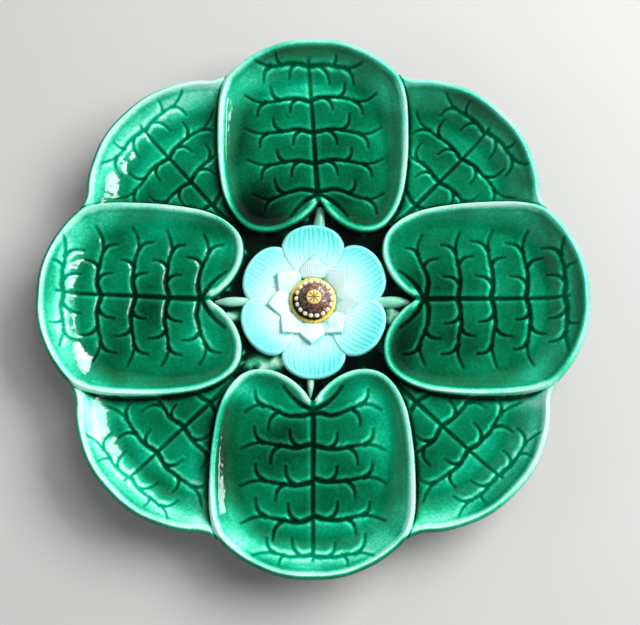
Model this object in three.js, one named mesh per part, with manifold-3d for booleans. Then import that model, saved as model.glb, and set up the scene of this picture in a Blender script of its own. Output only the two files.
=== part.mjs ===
// A lily pad plate in relief-moulded, glazed earthenware, lying on its foot ring.
// Millimetres, +Z up. The origin is the centre of the foot's underside, +Y points to the top pad.
import * as THREE from 'three';
import { mergeVertices } from 'three/addons/utils/BufferGeometryUtils.js';
import Module from 'manifold-3d';

const wasm = await Module();
wasm.setup();

// Driving dimensions of the whole plate
const plateRadius = 114.5;
const scallopDepth = 9.5;
const seatGap = 0.3;
const overrun = 3;
const sliverSize = 0.02;

// Foot ring
const footHeight = 4.5;
const footOuterRadius = 60;
const footWidth = 6;
const footChamfer = 1;

// Pressed blank that carries the relief
const bodyThickness = 4.5;
const bodyEdgeThickness = 2.2;
const wellRadius = 62;
const rimOverhang = 1.6;
const scallopFullnessShare = 0.12;

// Lily pads: four in front on the axes, four behind on the diagonals
const padSpreadDegrees = 60.3;
const padThickness = 3;
const padFloorRise = 1.4;
const lipInset = 2.2;
const lipDrop = 2;
const innerWallWidth = 7;
const outerWallWidth = 21;
const wallCurvePower = 1.7;
const innerLipHeight = 2.2;
const outerLipHeight = 11.6;
const lipRisePower = 2.2;
const backPadDrop = 0.8;
const backPadStart = 50;
const frontPads = [
  { name: 'lily_pad_right', degrees: 0, notchShift: 0, midribFoot: 0.3, midribTip: 0.4 },
  { name: 'lily_pad_top', degrees: 90, notchShift: -3, midribFoot: -2.5, midribTip: 2.5 },
  { name: 'lily_pad_left', degrees: 180, notchShift: 0, midribFoot: -0.4, midribTip: -3.3 },
  { name: 'lily_pad_bottom', degrees: 270, notchShift: 0, midribFoot: 0.2, midribTip: 0.4 },
];
const backPads = [
  { name: 'back_pad_upper_right', degrees: 45, notchShift: 0, midribFoot: -2.4, midribTip: -1 },
  { name: 'back_pad_upper_left', degrees: 135, notchShift: 0, midribFoot: 1.5, midribTip: -1.5 },
  { name: 'back_pad_lower_left', degrees: 225, notchShift: 0, midribFoot: 1, midribTip: 0 },
  { name: 'back_pad_lower_right', degrees: 315, notchShift: 0, midribFoot: -1, midribTip: 1.5 },
];
// Half a pad's outline from its notch round to its outer tip: shares of half the length and half the width.
const padOutlineShares = [
  [-0.69, 0],
  [-0.78, 0.075],
  [-0.9, 0.21],
  [-0.985, 0.39],
  [-1, 0.56],
  [-0.955, 0.7],
  [-0.83, 0.83],
  [-0.62, 0.93],
  [-0.3, 0.985],
  [0.06, 1],
  [0.42, 0.976],
  [0.62, 0.9],
  [0.81, 0.68],
  [0.94, 0.41],
  [0.99, 0.2],
  [1, 0],
];
const padRingShares = [0.34, 1, 2, 3.2];
const padFloorShares = [0.8, 0.6, 0.3];

// Veins pressed into a pad: a midrib and pairs of side veins, in shares of its half length and half width
const veinDepth = 0.8;
const midribWidth = 2;
const sideVeinWidth = 1.7;
const veinTipShare = 0.6;
const midribShares = [-0.6, 0.8];
const sideVeinShares = [-0.56, -0.25, 0.09, 0.43, 0.77];
const sideVeinCurveShares = [
  [0, 0],
  [0.03, 0.2],
  [0, 0.44],
  [0.02, 0.74],
];
const sideVeinTaperShare = 0.33;

// Flower in the middle: a shallow bowl of petals. The pads' lobes reach in past the petals' tips.
const petalReach = 33;
const lobeTuck = 3.5;
const petalWidth = 26.5;
const petalLipHeight = 3.8;
const petalHeartHeight = 1.4;
const petalLipInset = 1.2;
const petalLipDrop = 1;
const petalHalfShares = [
  [0, 0],
  [0, 0.34],
  [0.22, 0.74],
  [0.45, 0.97],
  [0.64, 1],
  [0.84, 0.79],
  [0.96, 0.43],
  [1, 0],
];
const petalFloorShares = [0.75, 0.4];
const outerPetals = [
  { name: 'outer_petal_top', degrees: 90, longer: 0, above: true },
  { name: 'outer_petal_lower_left', degrees: 209, longer: -0.8, above: true },
  { name: 'outer_petal_lower_right', degrees: 330, longer: 0, above: true },
  { name: 'outer_petal_upper_right', degrees: 30, longer: 0.4, above: false },
  { name: 'outer_petal_upper_left', degrees: 150, longer: -1.2, above: false },
  { name: 'outer_petal_bottom', degrees: 271, longer: 1, above: false },
];
const innerPetalReach = 19;
const innerPetalWidth = 12.4;
const innerPetalThickness = 1.3;
const innerPetalTipHeight = 4.8;
const innerPetalCrease = 0.5;
const innerPetalHalfShares = [
  [0, 0.84],
  [0.3, 1],
  [0.55, 0.88],
  [0.78, 0.54],
  [0.92, 0.2],
  [1, 0],
];
const innerPetalDegrees = [88.5, 43, -3, -49, -91.5, -132, -174.5, -217];

// Seed head
const collarRadius = 10.1;
const collarHeight = 2;
const collarSlope = 0.7;
const domeRadius = 8.2;
const domeHeight = 5.7;
const beadCount = 18;
const beadRadius = 1;
const beadCircleRadius = 7.1;
const beadBandWidth = 1.2;
const starDiscRadius = 3.2;
const starDiscThickness = 0.7;
const starPointCount = 8;
const starRadius = 2.7;
const starHubRadius = 0.9;
const starThickness = 0.35;

// Stalks between the flower and the four front pads
const stalkTuck = 8;
const stalkHeight = 2;
const stalkTipShare = 0.35;
const stalks = [
  { name: 'stalk_right', degrees: 0, width: 4.6 },
  { name: 'stalk_top', degrees: 86, width: 5 },
  { name: 'stalk_left', degrees: 180, width: 3.3 },
  { name: 'stalk_bottom', degrees: 269, width: 2.2 },
];

// How finely the curved forms are faceted
const bodySegments = 80;
const rimSteps = 5;
const padSegments = 44;
const petalSegments = 22;
const innerPetalSegments = 14;
const seedSegments = 32;
const domeSteps = 6;
const beadSegments = 8;
const stalkSides = 8;
const stalkSteps = 4;

// Heights and places that follow from the dimensions
const wellTop = footHeight + bodyThickness;
const padInnerRadius = petalReach - lobeTuck;
const padHalfLength = (plateRadius - padInnerRadius) / 2;
const padCentreRadius = plateRadius - padHalfLength;
const padHalfWidth = padCentreRadius * Math.tan(THREE.MathUtils.degToRad(padSpreadDegrees / 2));
const notchShare = padOutlineShares[0][0];
const notchRadius = padCentreRadius + padHalfLength * notchShare;
const bodyLobeRadius = plateRadius - rimOverhang;
const junctionRadius = plateRadius - scallopDepth;
const cutterRadius = plateRadius + overrun;
const petalBase = collarRadius + seatGap;
const petalHalfWidth = petalWidth / 2;
const domeSeat = wellTop + seatGap + collarHeight + seatGap;
const aboveAll = wellTop + padThickness + padFloorRise + outerLipHeight + overrun;

// Solids: to and from the boolean library

function solidFromArrays(positions, indices) {
  const mesh = new wasm.Mesh({
    numProp: 3,
    vertProperties: new Float32Array(positions),
    triVerts: new Uint32Array(indices),
  });
  return new wasm.Manifold(mesh);
}

function solidFromGeometry(geometry) {
  const bare = geometry.clone();
  bare.deleteAttribute('normal');
  bare.deleteAttribute('uv');
  const merged = mergeVertices(bare);
  return solidFromArrays(merged.attributes.position.array, merged.index.array);
}

function geometryFromSolid(solid) {
  const mesh = solid.getMesh();
  const geometry = new THREE.BufferGeometry();
  geometry.setAttribute('position', new THREE.BufferAttribute(mesh.vertProperties, 3));
  geometry.setIndex(new THREE.BufferAttribute(mesh.triVerts, 1));
  geometry.computeVertexNormals();
  return geometry;
}

// A closed skin: a point on top, rings of points that run anticlockwise seen from above, a point underneath.
function loft(topPoint, rings, bottomPoint) {
  const count = rings[0].length;
  const points = [topPoint, ...rings.flat(), bottomPoint];
  const indices = [];
  for (let j = 0; j < count; j += 1) {
    const next = (j + 1) % count;
    indices.push(0, 1 + j, 1 + next);
    for (let ring = 0; ring + 1 < rings.length; ring += 1) {
      const here = 1 + ring * count;
      const below = here + count;
      indices.push(here + j, below + j, below + next);
      indices.push(here + j, below + next, here + next);
    }
    const foot = 1 + (rings.length - 1) * count;
    indices.push(foot + j, points.length - 1, foot + next);
  }
  return solidFromArrays(points.flatMap((point) => [point.x, point.y, point.z]), indices);
}

// A profile of [radius, height] points turned about the plate's axis.
function revolve(profile, segments) {
  const points = profile.map(([radius, height]) => new THREE.Vector2(radius, height));
  const geometry = new THREE.LatheGeometry(points, segments);
  geometry.rotateX(Math.PI / 2);
  return solidFromGeometry(geometry);
}

function prism(outline, bottom, top) {
  const geometry = new THREE.ExtrudeGeometry(new THREE.Shape(outline), {
    depth: top - bottom,
    bevelEnabled: false,
  });
  geometry.translate(0, 0, bottom);
  return solidFromGeometry(geometry);
}

function turned(solid, degrees) {
  return solid.rotate([0, 0, degrees]);
}

// Flat outlines, anticlockwise

// Half an outline, given as [along, across] sizes, is mirrored, smoothed and sampled evenly.
function closedOutline(halfPoints, segments, bend = (point) => point) {
  const mirrored = halfPoints.slice(1, -1).reverse().map(([along, across]) => [along, -across]);
  const loop = [...halfPoints, ...mirrored].map(([along, across]) => {
    const point = bend(new THREE.Vector2(along, across));
    return new THREE.Vector3(point.x, point.y, 0);
  });
  const curve = new THREE.CatmullRomCurve3(loop, true, 'centripetal');
  const points = curve.getSpacedPoints(segments).slice(0, -1);
  return points.map((point) => new THREE.Vector2(point.x, point.y)).reverse();
}

function offsetOutline(outline, distance) {
  const count = outline.length;
  return outline.map((point, i) => {
    const before = outline[(i + count - 1) % count];
    const after = outline[(i + 1) % count];
    const along = after.clone().sub(before).normalize();
    return new THREE.Vector2(point.x + along.y * distance, point.y - along.x * distance);
  });
}

function scaleOutline(outline, centre, share) {
  return outline.map((point) => point.clone().sub(centre).multiplyScalar(share).add(centre));
}

function distanceToOutline(point, outline) {
  let nearest = Infinity;
  outline.forEach((start, i) => {
    const end = outline[(i + 1) % outline.length];
    const side = end.clone().sub(start);
    const reach = THREE.MathUtils.clamp(point.clone().sub(start).dot(side) / side.lengthSq(), 0, 1);
    nearest = Math.min(nearest, point.distanceTo(side.multiplyScalar(reach).add(start)));
  });
  return nearest;
}

// The dish that pads and blank share: its height at a distance from the plate's centre and from a pad's edge.
function dishHeight(radius, fromEdge) {
  const out = (radius - padInnerRadius) / (plateRadius - padInnerRadius);
  const outShare = THREE.MathUtils.clamp(out, 0, 1);
  const rise = outShare ** lipRisePower;
  const lipHeight = THREE.MathUtils.lerp(innerLipHeight, outerLipHeight, rise);
  const wallWidth = THREE.MathUtils.lerp(innerWallWidth, outerWallWidth, rise);
  const inwards = THREE.MathUtils.clamp((fromEdge - lipInset) / (wallWidth - lipInset), 0, 1);
  const wall = (1 - inwards) ** wallCurvePower;
  return wellTop + padThickness + padFloorRise * outShare + lipHeight * wall;
}

// Pressed blank and foot

function bodyTop(radius) {
  return dishHeight(radius, plateRadius - radius) - padThickness;
}

function bodyUnderside(radius) {
  const out = THREE.MathUtils.clamp((radius - wellRadius) / (bodyLobeRadius - wellRadius), 0, 1);
  const wellThickness = bodyTop(wellRadius) - footHeight;
  return bodyTop(radius) - THREE.MathUtils.lerp(wellThickness, bodyEdgeThickness, out);
}

const slopeRadii = [wellRadius];
for (let i = 0; i <= rimSteps; i += 1) {
  slopeRadii.push(THREE.MathUtils.lerp(plateRadius - outerWallWidth, cutterRadius, i / rimSteps));
}

// All that lies below the blank's upper face, with the seat's gap: the relief is cut by it.
function makeGround() {
  const top = [padInnerRadius, ...slopeRadii].map((radius) => [radius, bodyTop(radius) + seatGap]);
  return revolve(
    [[0, -overrun], [cutterRadius, -overrun], ...top.reverse(), [0, wellTop + seatGap]],
    bodySegments,
  );
}

// The blank's eight scallops: one cosine wave, made fuller at the lobes by its first overtone.
function scallopRadius(angle) {
  const lobes = frontPads.length + backPads.length;
  const half = (bodyLobeRadius - junctionRadius) / 2;
  const fullness = 2 * half * scallopFullnessShare;
  const middle = junctionRadius + half + fullness;
  return middle + half * Math.cos(lobes * angle) - fullness * Math.cos(2 * lobes * angle);
}

function makeBody() {
  const top = [padInnerRadius, ...slopeRadii].map((radius) => [radius, bodyTop(radius)]);
  const bottom = slopeRadii.map((radius) => [radius, bodyUnderside(radius)]);
  const blank = revolve([[0, footHeight], ...bottom, ...top.reverse(), [0, wellTop]], bodySegments);
  const outline = Array.from({ length: bodySegments }, (_, i) => {
    const angle = (2 * Math.PI * i) / bodySegments;
    const radius = scallopRadius(angle);
    return new THREE.Vector2(radius * Math.cos(angle), radius * Math.sin(angle));
  });
  return blank.intersect(prism(outline, -overrun, aboveAll));
}

function makeFoot() {
  const inner = footOuterRadius - footWidth;
  const top = footHeight - seatGap;
  return revolve(
    [
      [inner, footChamfer],
      [inner + footChamfer, 0],
      [footOuterRadius - footChamfer, 0],
      [footOuterRadius, footChamfer],
      [footOuterRadius, top],
      [inner, top],
      [inner, footChamfer],
    ],
    bodySegments,
  );
}

// Lily pads, each made along X from the plate's centre and then turned into place

function padOutline(notchShift) {
  const half = padOutlineShares.map(([along, across]) => [
    padCentreRadius + along * padHalfLength,
    across * padHalfWidth,
  ]);
  const bend = (point) => {
    const inwards = (point.x - padCentreRadius) / (notchRadius - padCentreRadius);
    const middle = 1 - Math.abs(point.y) / padHalfWidth;
    point.y += notchShift * THREE.MathUtils.clamp(inwards, 0, 1) * middle;
    return point;
  };
  return closedOutline(half, padSegments, bend);
}

// A pad's upper face is the dish, and its lip falls outside the crest.
function padTop(point, fromEdge) {
  const outside = Math.max(0, 1 - fromEdge / lipInset);
  return dishHeight(point.length(), fromEdge) - lipDrop * outside * outside;
}

// The flat outline of one groove along a line of points, narrower at its far end.
function strokeOutline(points, width) {
  const last = points.length - 1;
  const edge = (side) => points.map((point, i) => {
    const along = points[Math.min(i + 1, last)].clone().sub(points[Math.max(i - 1, 0)]).normalize();
    const half = (side * width * THREE.MathUtils.lerp(1, veinTipShare, i / last)) / 2;
    return new THREE.Vector2(point.x - along.y * half, point.y + along.x * half);
  });
  return [...edge(-1), ...edge(1).reverse()];
}

function veinOutlines({ midribFoot, midribTip }) {
  const place = (along, across) => {
    const radius = padCentreRadius + along * padHalfLength;
    const share = (radius - notchRadius) / (plateRadius - notchRadius);
    const aside = THREE.MathUtils.lerp(midribFoot, midribTip, share);
    return new THREE.Vector2(radius, across * padHalfWidth + aside);
  };
  const outlines = [strokeOutline(midribShares.map((share) => place(share, 0)), midribWidth)];
  sideVeinShares.forEach((foot) => {
    const tipShare = Math.min(1, (1 - foot) / sideVeinTaperShare);
    [tipShare, -tipShare].forEach((reach) => {
      const line = sideVeinCurveShares.map(([along, across]) => place(foot + along, reach * across));
      outlines.push(strokeOutline(line, sideVeinWidth));
    });
  });
  return outlines;
}

// Every groove is equally deep below the face that it runs on.
function veined(blank, pad) {
  const strokes = veinOutlines(pad).map((outline) => prism(outline, 0, aboveAll));
  const grooves = wasm.Manifold.union(strokes).subtract(blank.translate([0, 0, -veinDepth]));
  return blank.subtract(grooves).simplify(sliverSize);
}

function makePadBlank(outline, drop) {
  const centre = new THREE.Vector2(padCentreRadius, 0);
  const edges = [0, ...padRingShares].map((share) => offsetOutline(outline, -lipInset * share));
  const innermost = edges[edges.length - 1];
  const floors = padFloorShares.map((share) => scaleOutline(innermost, centre, share));
  const onTop = (point) => {
    const height = padTop(point, distanceToOutline(point, outline)) - drop;
    return new THREE.Vector3(point.x, point.y, height);
  };
  const rings = [...floors.reverse(), ...edges.reverse()].map((ring) => ring.map(onTop));
  const below = outline.map((point) => new THREE.Vector3(point.x, point.y, 0));
  return loft(onTop(centre), [...rings, below], new THREE.Vector3(centre.x, centre.y, 0));
}

const ground = makeGround();
const padClearances = frontPads.map(({ degrees, notchShift }) => {
  const grown = offsetOutline(padOutline(notchShift), seatGap);
  return turned(prism(grown, -overrun, aboveAll), degrees);
});

// A front pad gives way to the pads before it in the list where their outlines would meet.
function makeFrontPad(pad, index) {
  let solid = turned(veined(makePadBlank(padOutline(pad.notchShift), 0), pad), pad.degrees);
  padClearances.slice(0, index).forEach((clearance) => {
    solid = solid.subtract(clearance);
  });
  return solid.subtract(ground);
}

// Only the part of a back pad that shows between the front pads is there.
function makeBackPad(pad) {
  const shown = prism(
    [
      new THREE.Vector2(backPadStart, -padHalfWidth),
      new THREE.Vector2(cutterRadius, -padHalfWidth),
      new THREE.Vector2(cutterRadius, padHalfWidth),
      new THREE.Vector2(backPadStart, padHalfWidth),
    ],
    -overrun,
    aboveAll,
  );
  const blank = veined(makePadBlank(padOutline(pad.notchShift), backPadDrop), pad);
  let solid = turned(blank.intersect(shown), pad.degrees);
  padClearances.forEach((clearance) => {
    solid = solid.subtract(clearance);
  });
  return solid.subtract(ground);
}

// Outer petals

function petalTop(point, fromEdge) {
  const out = THREE.MathUtils.clamp((point.length() - petalBase) / (petalReach - petalBase), 0, 1);
  const height = THREE.MathUtils.lerp(petalHeartHeight, petalLipHeight, out);
  const outside = Math.max(0, 1 - fromEdge / petalLipInset);
  return wellTop + height - petalLipDrop * outside * outside * out;
}

// One petal, or the slightly larger form that its neighbours are cut by.
function makePetalBlank({ degrees, longer }, gap) {
  const reach = petalReach + longer;
  const half = petalHalfShares.map(([along, across]) => [
    petalBase + along * (reach - petalBase),
    across * petalHalfWidth,
  ]);
  const outline = offsetOutline(closedOutline(half, petalSegments), gap);
  const middle = new THREE.Vector2((petalBase + reach) / 2, 0);
  const crest = offsetOutline(outline, -petalLipInset);
  const floors = petalFloorShares.map((share) => scaleOutline(crest, middle, share));
  const onTop = (point) => {
    const height = petalTop(point, distanceToOutline(point, outline)) + gap;
    return new THREE.Vector3(point.x, point.y, height);
  };
  const rings = [...floors.reverse(), crest, outline].map((ring) => ring.map(onTop));
  const below = outline.map((point) => new THREE.Vector3(point.x, point.y, 0));
  const blank = loft(onTop(middle), [...rings, below], new THREE.Vector3(middle.x, middle.y, 0));
  return turned(blank, degrees);
}

const petalClearances = outerPetals.map((petal) => makePetalBlank(petal, seatGap));
const collarClearance = revolve(
  [
    [0, -overrun],
    [petalBase, -overrun],
    [petalBase, aboveAll],
    [0, aboveAll],
  ],
  seedSegments,
);

function makeOuterPetal(petal) {
  let solid = makePetalBlank(petal, 0);
  outerPetals.forEach((other, i) => {
    if (other.above && !petal.above) solid = solid.subtract(petalClearances[i]);
  });
  return solid.subtract(collarClearance).subtract(ground);
}

// Inner petals: pointed, creased along the middle, with lifted tips

// The slice of the circle from halfway to one neighbour to halfway to the other.
function petalSlice(index) {
  const count = innerPetalDegrees.length;
  const middle = innerPetalDegrees[index];
  const before = innerPetalDegrees[(index + count - 1) % count] + (index === 0 ? 360 : 0);
  const after = innerPetalDegrees[(index + 1) % count] - (index === count - 1 ? 360 : 0);
  const left = THREE.MathUtils.degToRad((before - middle) / 2);
  const right = THREE.MathUtils.degToRad((after - middle) / 2);
  const far = innerPetalReach + overrun;
  const slice = prism(
    [
      new THREE.Vector2(0, 0),
      new THREE.Vector2(far, far * Math.tan(right)),
      new THREE.Vector2(far, far * Math.tan(left)),
    ],
    -overrun,
    aboveAll,
  );
  return slice.translate([seatGap, 0, 0]);
}

function makeInnerPetal(degrees, index) {
  const span = innerPetalReach - petalBase;
  const halfWidth = innerPetalWidth / 2;
  const half = innerPetalHalfShares.map(([along, across]) => [
    petalBase + along * span,
    across * halfWidth,
  ]);
  const outline = closedOutline([[petalBase, 0], ...half], innerPetalSegments);
  const base = petalTop(new THREE.Vector2(petalBase, 0), petalHalfWidth) + seatGap;
  const onTop = (point) => {
    const out = THREE.MathUtils.clamp((point.x - petalBase) / span, 0, 1);
    const tip = wellTop + innerPetalTipHeight;
    const spine = THREE.MathUtils.lerp(base + innerPetalThickness, tip, out);
    const height = spine - innerPetalCrease * Math.abs(point.y / halfWidth);
    return new THREE.Vector3(point.x, point.y, height);
  };
  const middle = new THREE.Vector2(petalBase + span / 2, 0);
  const below = outline.map((point) => new THREE.Vector3(point.x, point.y, 0));
  const blank = loft(
    onTop(middle),
    [outline.map(onTop), below],
    new THREE.Vector3(middle.x, middle.y, 0),
  );
  let solid = turned(blank.intersect(petalSlice(index)), degrees);
  petalClearances.forEach((clearance) => {
    solid = solid.subtract(clearance);
  });
  return solid.subtract(collarClearance).subtract(ground);
}

// Seed head

function domeTop(radius) {
  return domeSeat + domeHeight * Math.sqrt(Math.max(0, 1 - (radius / domeRadius) ** 2));
}

// A dome with a flat crown under the star disc, or the slightly larger form that the beads are cut by.
function makeDome(gap) {
  const profile = [[0, domeSeat - gap], [domeRadius + gap, domeSeat - gap]];
  for (let i = 1; i <= domeSteps; i += 1) {
    const inwards = Math.sin((Math.PI / 2) * (i / domeSteps)) ** 2;
    const radius = THREE.MathUtils.lerp(domeRadius, starDiscRadius, inwards);
    profile.push([radius + gap, domeTop(radius) + gap]);
  }
  profile.push([0, domeTop(starDiscRadius) + gap]);
  return revolve(profile, seedSegments);
}

function makeCollar() {
  const bottom = wellTop + seatGap;
  const top = bottom + collarHeight;
  return revolve(
    [
      [0, bottom],
      [collarRadius, bottom],
      [collarRadius, top - collarSlope],
      [domeRadius, top],
      [0, top],
    ],
    seedSegments,
  );
}

// A row of beads on a low band that follows the dome's shoulder.
function makeBeadRing() {
  const height = domeTop(beadCircleRadius);
  const sphere = new THREE.SphereGeometry(beadRadius, beadSegments, beadSegments / 2);
  const bead = solidFromGeometry(sphere).translate([beadCircleRadius, 0, height]);
  const half = beadBandWidth / 2;
  const start = [beadCircleRadius - half, height - half];
  let ring = revolve(
    [
      start,
      [beadCircleRadius + half, height - half],
      [beadCircleRadius + half, height + half],
      [beadCircleRadius - half, height + half],
      start,
    ],
    seedSegments,
  );
  for (let i = 0; i < beadCount; i += 1) {
    ring = ring.add(turned(bead, (360 * i) / beadCount));
  }
  return ring.subtract(makeDome(seatGap));
}

function makeStarDisc() {
  const bottom = domeTop(starDiscRadius) + seatGap;
  const top = bottom + starDiscThickness;
  return revolve(
    [
      [0, bottom],
      [starDiscRadius, bottom],
      [starDiscRadius - starDiscThickness / 2, top],
      [0, top],
    ],
    seedSegments,
  );
}

function makeStar() {
  const bottom = domeTop(starDiscRadius) + starDiscThickness + 2 * seatGap;
  const count = starPointCount * 2;
  const outline = Array.from({ length: count }, (_, i) => {
    const radius = i % 2 ? starHubRadius : starRadius;
    const angle = (2 * Math.PI * i) / count;
    return new THREE.Vector2(radius * Math.cos(angle), radius * Math.sin(angle));
  });
  return prism(outline, bottom, bottom + starThickness);
}

// Stalks: half-round rods that narrow towards the notch of their pad

function makeStalk({ degrees, width }) {
  const inner = petalReach - stalkTuck;
  const ring = (share) => Array.from({ length: stalkSides }, (_, i) => {
    const angle = (2 * Math.PI * i) / stalkSides;
    const size = THREE.MathUtils.lerp(1, stalkTipShare, share);
    const along = THREE.MathUtils.lerp(inner, notchRadius, share);
    const across = (width / 2) * size * Math.cos(angle);
    const height = wellTop + seatGap + stalkHeight * size * Math.sin(angle);
    return new THREE.Vector3(along, across, height);
  });
  const rings = Array.from({ length: stalkSteps + 1 }, (_, i) => ring(1 - i / stalkSteps));
  const tip = new THREE.Vector3(notchRadius, 0, wellTop);
  let solid = turned(loft(tip, rings, new THREE.Vector3(inner, 0, wellTop)), degrees);
  petalClearances.forEach((clearance) => {
    solid = solid.subtract(clearance);
  });
  padClearances.forEach((clearance) => {
    solid = solid.subtract(clearance);
  });
  return solid.subtract(ground);
}

// Finishes

function glaze(color, roughness) {
  return new THREE.MeshStandardMaterial({ color, roughness, metalness: 0 });
}

const darkGreenGlaze = glaze(0x0b2a1c, 0.12);
const greenGlaze = glaze(0x04794c, 0.1);
const mintGlaze = glaze(0x6fd0a8, 0.12);
const turquoiseGlaze = glaze(0x8ff0ea, 0.15);
const whiteGlaze = glaze(0xe6fbfa, 0.15);
const yellowGlaze = glaze(0xf3d774, 0.2);
const creamGlaze = glaze(0xfff2cf, 0.2);
const brownGlaze = glaze(0x5a3527, 0.25);

// Assembly

const plate = new THREE.Group();

function addPiece(name, solid, material) {
  const mesh = new THREE.Mesh(geometryFromSolid(solid), material.clone());
  mesh.name = name;
  plate.add(mesh);
}

addPiece('plate_body', makeBody(), darkGreenGlaze);
addPiece('foot_ring', makeFoot(), darkGreenGlaze);
frontPads.forEach((pad, i) => addPiece(pad.name, makeFrontPad(pad, i), greenGlaze));
backPads.forEach((pad) => addPiece(pad.name, makeBackPad(pad), greenGlaze));
stalks.forEach((stalk) => addPiece(stalk.name, makeStalk(stalk), mintGlaze));
outerPetals.forEach((petal) => addPiece(petal.name, makeOuterPetal(petal), turquoiseGlaze));
innerPetalDegrees.forEach((degrees, i) => {
  addPiece(`inner_petal_${i + 1}`, makeInnerPetal(degrees, i), whiteGlaze);
});
addPiece('seed_collar', makeCollar(), yellowGlaze);
addPiece('seed_dome', makeDome(0), brownGlaze);
addPiece('bead_ring', makeBeadRing(), creamGlaze);
addPiece('star_disc', makeStarDisc(), yellowGlaze);
addPiece('star', makeStar(), brownGlaze);

export default plate;
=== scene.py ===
# %% [markdown]
# This is a lily pad plate: a round of pressed earthenware whose relief stands under coloured, glassy glazes.
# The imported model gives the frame, its axes and the place of each piece. Blender works in metres, so a size
# in millimetres is multiplied by one named value on its way into a mesh. The camera comes first, because
# every later choice is judged through it. It looks down on the plate's face, and the plate leans away from
# it by a few degrees.

import math

import bpy
import numpy as np
from mathutils import Matrix, Vector


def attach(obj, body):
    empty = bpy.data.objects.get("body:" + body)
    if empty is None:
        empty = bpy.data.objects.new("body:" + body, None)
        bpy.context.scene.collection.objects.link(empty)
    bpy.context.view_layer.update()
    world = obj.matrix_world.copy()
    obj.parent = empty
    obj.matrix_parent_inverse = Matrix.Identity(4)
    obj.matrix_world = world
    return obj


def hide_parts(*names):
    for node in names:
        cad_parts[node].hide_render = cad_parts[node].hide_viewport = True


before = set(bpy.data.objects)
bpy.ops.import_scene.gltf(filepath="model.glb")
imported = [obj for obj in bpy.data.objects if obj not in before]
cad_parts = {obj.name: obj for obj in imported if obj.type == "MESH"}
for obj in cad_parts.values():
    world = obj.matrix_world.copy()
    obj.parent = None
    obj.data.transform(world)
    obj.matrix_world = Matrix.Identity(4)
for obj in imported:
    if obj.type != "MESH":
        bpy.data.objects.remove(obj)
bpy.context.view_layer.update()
scene = bpy.context.scene
scene.view_settings.view_transform = "Standard"
millimetre = 0.001

camera_distance = 435.2
camera_lean = math.radians(12.42)
camera_side = math.radians(0.5)
camera_aim = Vector((3.0, -2.88, 0))
camera_lens = 56.25
camera_sensor_width = 36

backwards = Vector((
    math.sin(camera_side) * math.cos(camera_lean),
    -math.sin(camera_lean),
    math.cos(camera_side) * math.cos(camera_lean),
))
rightwards = Vector((0, 1, 0)).cross(backwards).normalized()
upwards = backwards.cross(rightwards)
camera_data = bpy.data.cameras.new("plate_camera")
camera_data.lens = camera_lens
camera_data.sensor_width = camera_sensor_width
camera_data.sensor_fit = "HORIZONTAL"
camera = bpy.data.objects.new("plate_camera", camera_data)
scene.collection.objects.link(camera)
turn = Matrix((rightwards, upwards, backwards)).transposed().to_4x4()
camera.matrix_world = Matrix.Translation((camera_aim + camera_distance * backwards) * millimetre) @ turn
scene.camera = camera
print("camera", [round(value, 3) for value in camera.matrix_world.translation])

# %% [markdown]
# A glossy glaze shows its room. A flat floor of pale matt card and a dim sky are most of that room here. The
# sky is darkest overhead, because the flat floors of the pads mirror that part, and they stay deep green.

# %% Floor and sky
floor_reach = 6
floor_colour = (0.62, 0.61, 0.59, 1)
floor_roughness = 0.8
sky_tint = (0.93, 0.97, 1.0, 1)
# The sky's strength near the horizon and overhead, and the heights, as shares, between which it fades.
sky_strength, overhead_strength = 0.3, 0.05
fade_from, fade_to = 0.62, 0.86

corners = [(-floor_reach, -floor_reach, 0), (floor_reach, -floor_reach, 0), (floor_reach, floor_reach, 0),
           (-floor_reach, floor_reach, 0)]
floor_mesh = bpy.data.meshes.new("floor")
floor_mesh.from_pydata(corners, [], [(0, 1, 2, 3)])
floor = bpy.data.objects.new("floor", floor_mesh)
scene.collection.objects.link(floor)
card = bpy.data.materials.new("pale_card")
card.use_nodes = True
card.node_tree.nodes["Principled BSDF"].inputs["Base Color"].default_value = floor_colour
card.node_tree.nodes["Principled BSDF"].inputs["Roughness"].default_value = floor_roughness
floor_mesh.materials.append(card)

sky = bpy.data.worlds.new("dim_sky")
sky.use_nodes = True
nodes, links = sky.node_tree.nodes, sky.node_tree.links
height = nodes.new("ShaderNodeSeparateXYZ")
links.new(nodes.new("ShaderNodeTexCoord").outputs["Generated"], height.inputs[0])
fade = nodes.new("ShaderNodeMapRange")
fade_values = (fade_from, fade_to, sky_strength, overhead_strength)
for key, value in zip(("From Min", "From Max", "To Min", "To Max"), fade_values):
    fade.inputs[key].default_value = value
links.new(height.outputs["Z"], fade.inputs["Value"])
links.new(fade.outputs["Result"], nodes["Background"].inputs["Strength"])
nodes["Background"].inputs["Color"].default_value = sky_tint
scene.world = sky
print("floor", 2 * floor_reach, "m wide, sky", sky_strength, "to", overhead_strength)

# %% [markdown]
# Light and mirror images are set apart, because the pads' flat floors should be lit but show no lamp. Three
# soft lamps light the colours, and nothing mirrors them. The window is a row of panes that are only mirrored
# and light nothing. It stands on the right, so that the steep left walls of the pads show it as bright
# patches.

# %% Lamps that light the colours
lamp_target = Vector((0, 0, 0))
soft_white = (0.97, 0.99, 1)
window_place = Vector((0.84, 0.4, 0.75))
# Name, place, width and height in metres, and power in watts.
lighting_lamps = [
    ("window_lamp", window_place, 1.05, 0.5, 19),
    ("side_lamp", Vector((-1.0, -0.2, 0.45)), 0.5, 0.4, 1.8),
    ("overhead_lamp", Vector((0.4, 0.35, 1.0)), 0.6, 0.6, 4),
]


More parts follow.
